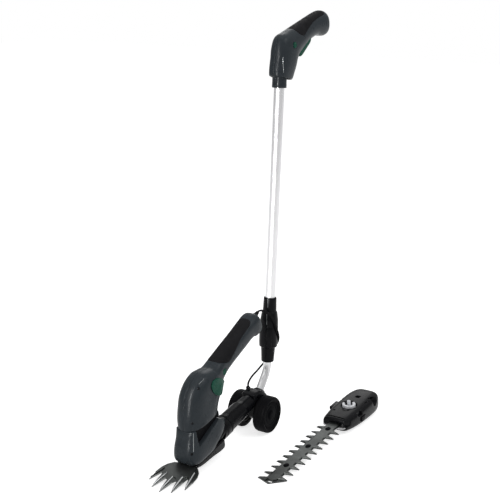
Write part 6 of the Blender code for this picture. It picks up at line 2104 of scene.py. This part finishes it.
# Hedge blade module, in its own frame: p along the blade, q across, r up
HEDGE_STATIONS = (
    (0, -9, 9.4, 25), (-4, -13, 12.4, 27), (-24, -17, 14.2, 30), (-52, -20.2, 15.2, 32.4),
    (-86, -23.3, 16, 32.8), (-114, -25.2, 16, 32), (-132, -25.4, 14.8, 29.4), (-143.5, -22, 12.4, 24),
    (-148.8, -15, 7, 15),
)
HEDGE_SQUARENESS = 3.6
CAM_P = -60.0
CAM_RADIUS = 14.0
CAM_LOW = 8.3
CAM_TOP = 11.0
CAM_RECESS = 16.0
PIN_RADIUS = 1.9
PIN_HOLE = 7.4
POST_RADIUS = 3.6
POST_TOP = 25.0
CRESCENT = (13.4, 8.2, -92.0, 160.0, 18.4)
STROKE = 4.5
PLATE = 2.0
MOVING_PLATE = 1.8
TOOTH_PITCH = 21.73
RIVETS = (28.0, 106.0, 187.0)
RIVET_BORE = 2.3
NOSE_OUTLINE = (
    (-15, 21.5), (-15, -21.5), (0.8, -21.5), (1.6, -25), (6, -22.5), (10.6, -14), (12.8, 0), (10.6, 14),
    (6, 22.5), (1.6, 25), (0.8, 21.5),
)
GUARD_NOSE = ((238.0, -11.0), (243.4, -25.6), (254.2, 1.5), (230.6, 25.6), (227.0, 11.0))
# Cuts in the housing, most of them up through its top, which ABOVE clears
ABOVE = 24.0
HOUSING_SLOTS = (
    ((-84, -11.6, -1.3), (10, 11.6, 4.3)), ((-16, -21.8, -3.5), (10, 21.8, -1)),
    ((-105, -4.5, 12), (-95, 4.5, ABOVE)), ((-8.6, -24, 10.2), (-5.8, 18, ABOVE)),
    ((-83, 28.4, 11.4), (-60, 29.6, ABOVE)),
)
HOUSING_SLASH = ((-83.0, 21.6), (-96.0, 24.2), (-96.6, 26.6), (-83.0, 24.2))
HOUSING_RING = ((5.0, 0.0), (6.6, 0.0), (6.6, 8.0), (5.0, 8.0))
HOUSING_CORNER = ((14.0, 21.0), (14.0, 44.0), (-15.0, 44.0), (-14.0, 27.6), (-2.0, 21.0))
HOUSING_NOTCHES = ((-37.0, -30.0), (-88.0, -78.0), (-102.0, -96.0))
BUTTON_LOW = (-66.0, 27.0, -9.5)
BUTTON_HIGH = (-50.0, 35.2, 0.5)


@dataclass(frozen=True)
class HedgeBlade:
    """One double-sided blade.

    Attributes:
        name: Its piece.
        node: The CAD node that it stands for.
        body: The body that it rides on.
        rear: Where its plate starts.
        front: Where its plate ends.
        spine: Half the width of its plate.
        reach: How far its tooth tips stand out.
        shift: How far its teeth are moved forward.
        low: Its lower face.
        high: Its upper face.
        nose: The outline of its end, or nothing for a plain point.
    """

    name: str
    node: str
    body: str
    rear: float
    front: float
    spine: float
    reach: float
    shift: float
    low: float
    high: float
    nose: tuple[tuple[float, float], ...] = ()

    def tooth(self) -> Body:
        """Returns one tooth that points along +Y, with both flanks ground.

        Returns:
            The tooth.
        """
        root = -3.0
        reach = self.reach - self.spine
        flat = ((-7.0, root), (-7.0, 0.0), (-0.8, reach - 0.5), (2.4, reach), (5.4, 0.0), (5.4, root))
        crest = ((-7.0, root), (-5.4, 0.0), (0.3, reach - 2.4), (1.5, reach - 2.4), (4.0, 0.0), (5.4, root))
        thickness = self.high - self.low
        rings = [
            [(x, y, level) for x, y in outline]
            for outline, level in ((flat, 0.0), (flat, thickness * 0.3), (crest, thickness))]
        return BENCH.loft("hedge_tooth", rings, FLAT)

    def build(self, cuts: Sequence[Body]) -> None:
        """Builds the plate, joins its teeth and cuts its holes.

        Args:
            cuts: Cutters of its holes.
        """
        matrix = FRAMES.hedge
        wide, narrow, last = self.spine, self.spine * 0.6, self.front - 3.0
        plain = (
            (last, -wide), (self.front, -narrow), (self.front + 2.0, 0.0), (self.front, narrow),
            (last, wide))
        ending = self.nose or plain
        outline = [(self.rear, self.spine), (self.rear, -self.spine), *ending]
        piece = BENCH.slab(self.name, eased(outline, 1.0), self.low, self.high, matrix, "z")
        right = [24.0 + TOOTH_PITCH * tooth + self.shift for tooth in range(11)]
        left = [31.9 + TOOTH_PITCH * tooth + self.shift for tooth in range(10)]
        tools = []
        for side, places in ((1.0, left), (-1.0, right)):
            teeth = copies(
                "hedge_teeth", self.tooth(), [(place, self.spine, 0.0) for place in places],
                [ZERO] * len(places), 1.0, Finish.BLADE)
            teeth.data.transform(
                matrix @ Matrix.Translation((0.0, 0.0, self.low)) @ Matrix.Diagonal((1.0, side, 1.0, 1.0)))
            if side < 0.0:
                teeth.data.flip_normals()
            tools.append(("UNION", teeth))
        BENCH.cut(piece, tools + [("DIFFERENCE", cut) for cut in cuts])
        BENCH.cleaned(piece)
        ground_edges(piece, matrix, Finish.HEDGE_BLADE, Finish.HEDGE_EDGE)
        BENCH.seat(piece, self.body, [self.node], angle=0.5)


@dataclass
class HedgeModule:
    """The spare hedge blade module on the floor."""

    body: str = "hedge_module"
    matrix: Matrix = field(default_factory=lambda: FRAMES.hedge)

    def housing(self) -> None:
        """Builds the black housing with its recess, slots and holes."""
        rows = tuple((p, high, p, low, half, HEDGE_SQUARENESS) for p, low, high, half in HEDGE_STATIONS)
        piece = Hull(rows, self.matrix, steps=6, around=112).body("hedge_cover")
        flat = self.matrix
        tools = [
            BENCH.bore((CAM_P, 0.0, CAM_LOW - CLEARANCE), UP, CAM_RECESS, ABOVE, flat),
            BENCH.bore((CAM_P, 0.0, 1.0), UP, PIN_HOLE, 9.0, flat, 48),
            *(BENCH.block("slot", low, high, flat) for low, high in HOUSING_SLOTS),
            BENCH.slab("slash", HOUSING_SLASH, 12.6, ABOVE, flat, "z"),
            BENCH.block("side_notch", (-57.0, 26.4, 3.6), (-41.0, 45.0, ABOVE), flat),
            BENCH.turned(
                "corner_recess", (-110.0, 22.0, 6.0), (-0.42, 0.91, 0.12), ((8.6, 0.0), (10.2, 14.0)), flat,
                48), BENCH.turned("ring_groove", (-40.5, 3.6, 13.4), UP, HOUSING_RING, flat, 48, True),
            BENCH.slab("front_corner", HOUSING_CORNER, -1.0, ABOVE, flat, "z"),
            BENCH.bore((-105.2, 21.3, 11.0), UP, 2.4, ABOVE, flat),
            BENCH.bore((-30.0, -17.0, 10.0), UP, 2.2, ABOVE, flat),
            *(
                BENCH.block("notch", (rear, -45.0, 6.5), (front, -25.6, ABOVE), flat)
                for rear, front in HOUSING_NOTCHES)]
        for side in Side:
            ends = sorted((side.value * (BUTTON_LOW[1] - PRESS_TRAVEL - CLEARANCE), side.value * 45.0))
            low = (BUTTON_LOW[0] - CLEARANCE, ends[0], BUTTON_LOW[2] - CLEARANCE)
            high = (BUTTON_HIGH[0] + CLEARANCE, ends[1], BUTTON_HIGH[2] + CLEARANCE)
            tools.append(BENCH.block("button_recess", low, high, flat))
        BENCH.carve(piece, *tools)
        BENCH.rounded(piece, 0.4, 2, 50.0)
        BENCH.finish(piece, Finish.BLACK, self.body, ["hedge_module_housing"])
        skin = Surface(piece)
        rim = [skin.local(flat, (p, q, 60.0), (0.0, 0.0, -1.0)) for p, q in arc(18.0, 0.0, 360.0, 48, CAM_P)]
        bead("cam_recess_rim", rim, 0.7, 0.3, Finish.BLACK, self.body)
        block = BENCH.block("hedge_side_block", (-77.0, -38.4, 1.4), (-49.0, -30.5, 8.2), flat)
        BENCH.rounded(block, 1.4, 3)
        BENCH.finish(block, Finish.BLACK, self.body)

    def cam(self) -> None:
        """Builds the white cam with its crescent, post and eccentric pin, and a dark sheet of painted shade on
        the base that the crescent leaves open.
        """
        matrix = self.matrix @ Matrix.Translation((CAM_P, 0.0, 0.0))
        floor = PLATE / 2.0 + 2.0 * CLEARANCE + MOVING_PLATE
        rows = (
            (STROKE, PIN_RADIUS, floor), (STROKE, PIN_RADIUS, CAM_LOW), (0.0, CAM_RADIUS, CAM_LOW),
            (0.0, CAM_RADIUS, CAM_TOP - 0.5), (0.0, CAM_RADIUS - 0.5, CAM_TOP),
            (0.0, POST_RADIUS + 0.6, CAM_TOP), (0.0, POST_RADIUS, CAM_TOP + 0.6),
            (0.0, POST_RADIUS, POST_TOP - 0.9), (0.0, POST_RADIUS - 0.3, POST_TOP - 0.3),
            (0.0, POST_RADIUS - 1.0, POST_TOP))
        rings = [
            [(x, y, level) for x, y in arc(radius, 0.0, 360.0, 64, offset)[:-1]]
            for offset, radius, level in rows]
        piece = BENCH.loft("white_cam", rings, matrix)
        outer, inner, first, last, top = CRESCENT
        outline = arc(outer, first, last, 36) + arc(inner, last, first, 36)
        crescent = BENCH.slab("crescent", outline, CAM_TOP - 1.0, top, matrix, "z")
        BENCH.rounded(crescent, 0.6, 3, 50.0)
        BENCH.cut(piece, [("UNION", crescent)])
        BENCH.finish(piece, Finish.WHITE, "hedge_cam_body", ["hedge_drive_cam"])
        # A thin dark sheet on the open part of the cam's base: painted shade over the white plastic.
        rest = first + 360.0
        outline = arc(CAM_RADIUS - 0.6, last, rest, 20) + arc(POST_RADIUS + 1.2, rest, last, 20)
        shadow = BENCH.slab("cam_black_floor", outline, CAM_TOP + 0.02, CAM_TOP + 0.6, matrix, "z")
        BENCH.finish(shadow, Finish.DEEP, "hedge_cam_body")

    def blades(self) -> None:
        """Builds both blades and the rivets that join them."""
        half = PLATE / 2.0
        floor = half + CLEARANCE
        flat = self.matrix
        bores = [BENCH.bore((p, 0.0, -4.0), UP, RIVET_BORE, 5.5, flat, 32) for p in RIVETS]
        guard = HedgeBlade(
            "hedge_guard_plate", "hedge_guard_blade", self.body, -82.0, 250.0, 11.0, 26.6, 0.0, -half, half,
            GUARD_NOSE)
        guard.build([*bores, BENCH.block("nose_hole", (243.6, -3.0, -4.0), (249.0, 6.0, 5.0), flat)])
        slots = []
        reach = STROKE + CLEARANCE
        for p in RIVETS:
            outline = arc(RIVET_BORE, -90.0, 90.0, 12, p + reach) + arc(
                RIVET_BORE, 90.0, 270.0, 12, p - reach)
            slots.append(BENCH.slab("rivet_slot", outline, 0.5, 6.0, flat, "z"))
        slots.append(BENCH.block("yoke_slot", (CAM_P - 2.2, -7.0, 0.0), (CAM_P + 2.2, 7.0, 6.0), flat))
        HedgeBlade(
            "hedge_moving_plate", "hedge_moving_blade", "hedge_moving_body", -76.0, 242.0, 10.0, 24.4, 1.5,
            floor, floor + MOVING_PLATE).build(slots)
        head = floor + MOVING_PLATE + CLEARANCE + half
        profile = (
            (0.01, 0.0), (2.0, 0.0), (2.0, head), (4.4, head), (4.4, head + 0.5), (3.6, head + 1.1),
            (1.8, head + 1.3), (0.01, head + 1.3))
        template = BENCH.turned("rivet", ZERO, UP, profile, FLAT, 32)
        oval = Matrix.Diagonal((1.35, 1.0, 1.0, 1.0))
        guide = BENCH.turned(
            "rivet_guide", (0.0, 0.0, head - 0.2), UP, ((4.9, 0.0), (4.9, 0.5), (4.5, 0.8)), oval, 40)
        BENCH.cut(template, [("UNION", guide)])
        rivets = copies(
            "hedge_rivets", template, [(p, 0.0, -half) for p in RIVETS], [ZERO] * 3, 1.0, Finish.DEEP)
        rivets.data.transform(flat)
        BENCH.seat(rivets, self.body, ["hedge_rivet_1", "hedge_rivet_2", "hedge_rivet_3"])

    def nose_and_buttons(self) -> None:
        """Builds the nose plate and the two ribbed squeeze buttons."""
        top = -PLATE / 2.0 - CLEARANCE
        piece = BENCH.slab("nose_tongue", eased(NOSE_OUTLINE, 2.0), top - 1.8, top, self.matrix, "z")
        BENCH.rounded(piece, 0.35, 2, 50.0)
        BENCH.finish(piece, Finish.STEEL, self.body, ["hedge_nose_plate"])
        for side in Side:
            label = side.name.lower()
            ends = sorted((side.value * BUTTON_LOW[1], side.value * BUTTON_HIGH[1]))
            piece = BENCH.block(
                f"squeeze_button_{label}", (BUTTON_LOW[0], ends[0], BUTTON_LOW[2]),
                (BUTTON_HIGH[0], ends[1], BUTTON_HIGH[2]), self.matrix)
            BENCH.rounded(piece, 1.4, 4)
            BENCH.finish(piece, Finish.BLACK_FINE, f"hedge_button_{label}_body", [f"hedge_button_{label}"])
            ribs(
                f"squeeze_button_lines_{label}", self.matrix,
                (
                    BUTTON_LOW[0] + 4.0, side.value * (BUTTON_HIGH[1] - 0.1),
                    (BUTTON_LOW[2] + BUTTON_HIGH[2]) / 2.0), (2.7, 0.0, 0.0), (1.0, 0.8, 6.6), 4, 0.25,
                Finish.BLACK_FINE, f"hedge_button_{label}_body")

    def build(self) -> None:
        """Builds all of the module."""
        for step in (self.housing, self.cam, self.blades, self.nose_and_buttons):
            step()
            LOG.info("hedge module: %s", step.__name__)


# CAD nodes that stay in view or inside, and what they are made of
DRESS = {
    "axle": Finish.STEEL, "battery_cell_front": Finish.WRAP, "battery_cell_rear": Finish.WRAP,
    "battery_cradle": Finish.BLACK, "charging_socket": Finish.BLACK_FINE, "crank_shaft": Finish.STEEL,
    "drive_gear": Finish.STEEL, "gearbox_core": Finish.DEEP, "grass_drive_fork": Finish.STEEL,
    "handle_switch": Finish.BLACK, "motor_can": Finish.STEEL, "motor_mount": Finish.BLACK,
    "motor_pinion": Finish.STEEL, "shear_switch": Finish.BLACK, "tube_guide_plug": Finish.BLACK,
    "tube_spring_button": Finish.STEEL,
}


@dataclass
class Studio:
    """The floor, the soft lamps and the white surroundings."""

    floor_size: float = 14.0
    floor_shade: float = 0.86
    lift: float = 0.7
    air: float = 0.4
    horizon: float = 0.3
    lamps: tuple[tuple[str, Triple, float, float, float], ...] = (
        ("key", (-0.6, 2.2, 2.6), 1.4, 1.4, 22.0), ("side", (2.4, -0.9, 1.7), 0.7, 2.2, 15.0),
        ("back", (-2.4, -1.2, 1.8), 1.0, 1.8, 9.0), ("top", (0.3, 0.2, 3.4), 2.0, 2.0, 12.0))
    strip: tuple[Triple, float, float, float] = ((1.0, 0.02, 0.62), 0.06, 1.2, 20.0)

    def seen_share(self, wiring: Wiring) -> Socket:
        """Returns 1 for camera, glossy and transmission rays, else 0.

        Args:
            wiring: The tree that it is added to.

        Returns:
            The share.
        """
        rays = wiring.add("ShaderNodeLightPath").outputs
        share = rays["Is Camera Ray"]
        for label in ("Is Glossy Ray", "Is Transmission Ray"):
            share = wiring.add(
                "ShaderNodeMath", {0: share, 1: rays[label]}, operation="MAXIMUM").outputs["Value"]
        return share

    def scaled(self, wiring: Wiring, share: Socket, low: float, high: float) -> Socket:
        """Returns low where the share is 0 and high where it is 1."""
        return wiring.add(
            "ShaderNodeMapRange", {"Value": share}, {"To Min": low, "To Max": high}).outputs["Result"]

    def floor(self) -> None:
        """Makes the pale floor, lifted to white for the camera where no shadow falls."""
        half = self.floor_size / 2.0
        square = ((-half, -half), (half, -half), (half, half), (-half, half))
        piece = BENCH.slab("studio_floor", square, -0.02, 0.0, FLAT, "z")
        paper = Graph("studio_floor_paper")
        paper.set(
            Base_Color=(*[self.floor_shade] * 3, 1.0), Roughness=0.9, Specular_IOR_Level=0.0,
            Emission_Color=(1.0, 1.0, 1.0, 1.0))
        paper.feed("Emission Strength", self.scaled(paper, self.seen_share(paper), 0.0, self.lift))
        piece.data.materials.append(paper.material)

    def lamp(
            self, name: str, place: Point, width: float, height: float, watts: float,
            target: Vector) -> Body:
        """Makes one area lamp that faces a target and is hidden from the camera.

        Args:
            name: Its name.
            place: Where it hangs.
            width: Its width.
            height: Its height.
            watts: Its power.
            target: What it faces.

        Returns:
            The lamp.
        """
        data = bpy.data.lights.new(name, "AREA")
        data.shape = "RECTANGLE"
        data.size = width
        data.size_y = height
        data.energy = watts
        lamp = bpy.data.objects.new(name, data)
        lamp.location = place
        lamp.rotation_euler = (target - Vector(place)).to_track_quat("-Z", "Y").to_euler()
        lamp.visible_camera = False
        bpy.context.scene.collection.objects.link(lamp)
        return lamp

    def lights(self) -> None:
        """Makes the soft area lamps and the white surroundings."""
        for name, place, width, height, watts in self.lamps:
            self.lamp(name, place, width, height, watts, Vector((0.0, 0.0, 0.3)))
        place, width, height, watts = self.strip
        strip = self.lamp("strip", place, width, height, watts, Vector((0.0, place[1], place[2])))
        strip.visible_diffuse = False
        world = bpy.data.worlds.new("studio_air")
        bpy.context.scene.world = world
        world.use_nodes = True
        air = Wiring(world.node_tree)
        back = air.tree.nodes["Background"]
        back.inputs["Color"].default_value = (1.0, 1.0, 1.0, 1.0)
        direction = air.add("ShaderNodeTexCoord").outputs["Generated"]
        rise = air.add("ShaderNodeSeparateXYZ", {"Vector": direction}).outputs["Z"]
        glossy = air.add("ShaderNodeLightPath").outputs["Is Glossy Ray"]
        seen = self.scaled(air, self.seen_share(air), self.air, 1.0)
        sky = {"Factor": glossy, "A": seen, "B": self.scaled(air, rise, self.horizon, 1.0)}
        air.tree.links.new(air.add("ShaderNodeMix", sky).outputs["Result"], back.inputs["Strength"])

    def build(self) -> None:
        """Builds all of the studio."""
        self.floor()
        self.lights()
        LOG.info("studio built")


def main() -> None:
    """Builds the camera, the lead and every sub-assembly in order, and reports each piece."""
    logging.basicConfig(level=logging.INFO, format="%(name)s: %(message)s")
    SIGHT.make_camera()
    for part in (
            Lead(), ShearUnit(), GrassModule(), Wheel(Side.LEFT), Wheel(Side.RIGHT), Carriage(), Pole(),
            TopHandle(), HedgeModule(), Studio()):
        part.build()
    for node, finish in DRESS.items():
        BENCH.dress(node, finish)
    for piece in BENCH.pieces:
        LOG.info("%s: %d faces", piece.name, len(piece.data.polygons))


if __name__ == "__main__":
    main()
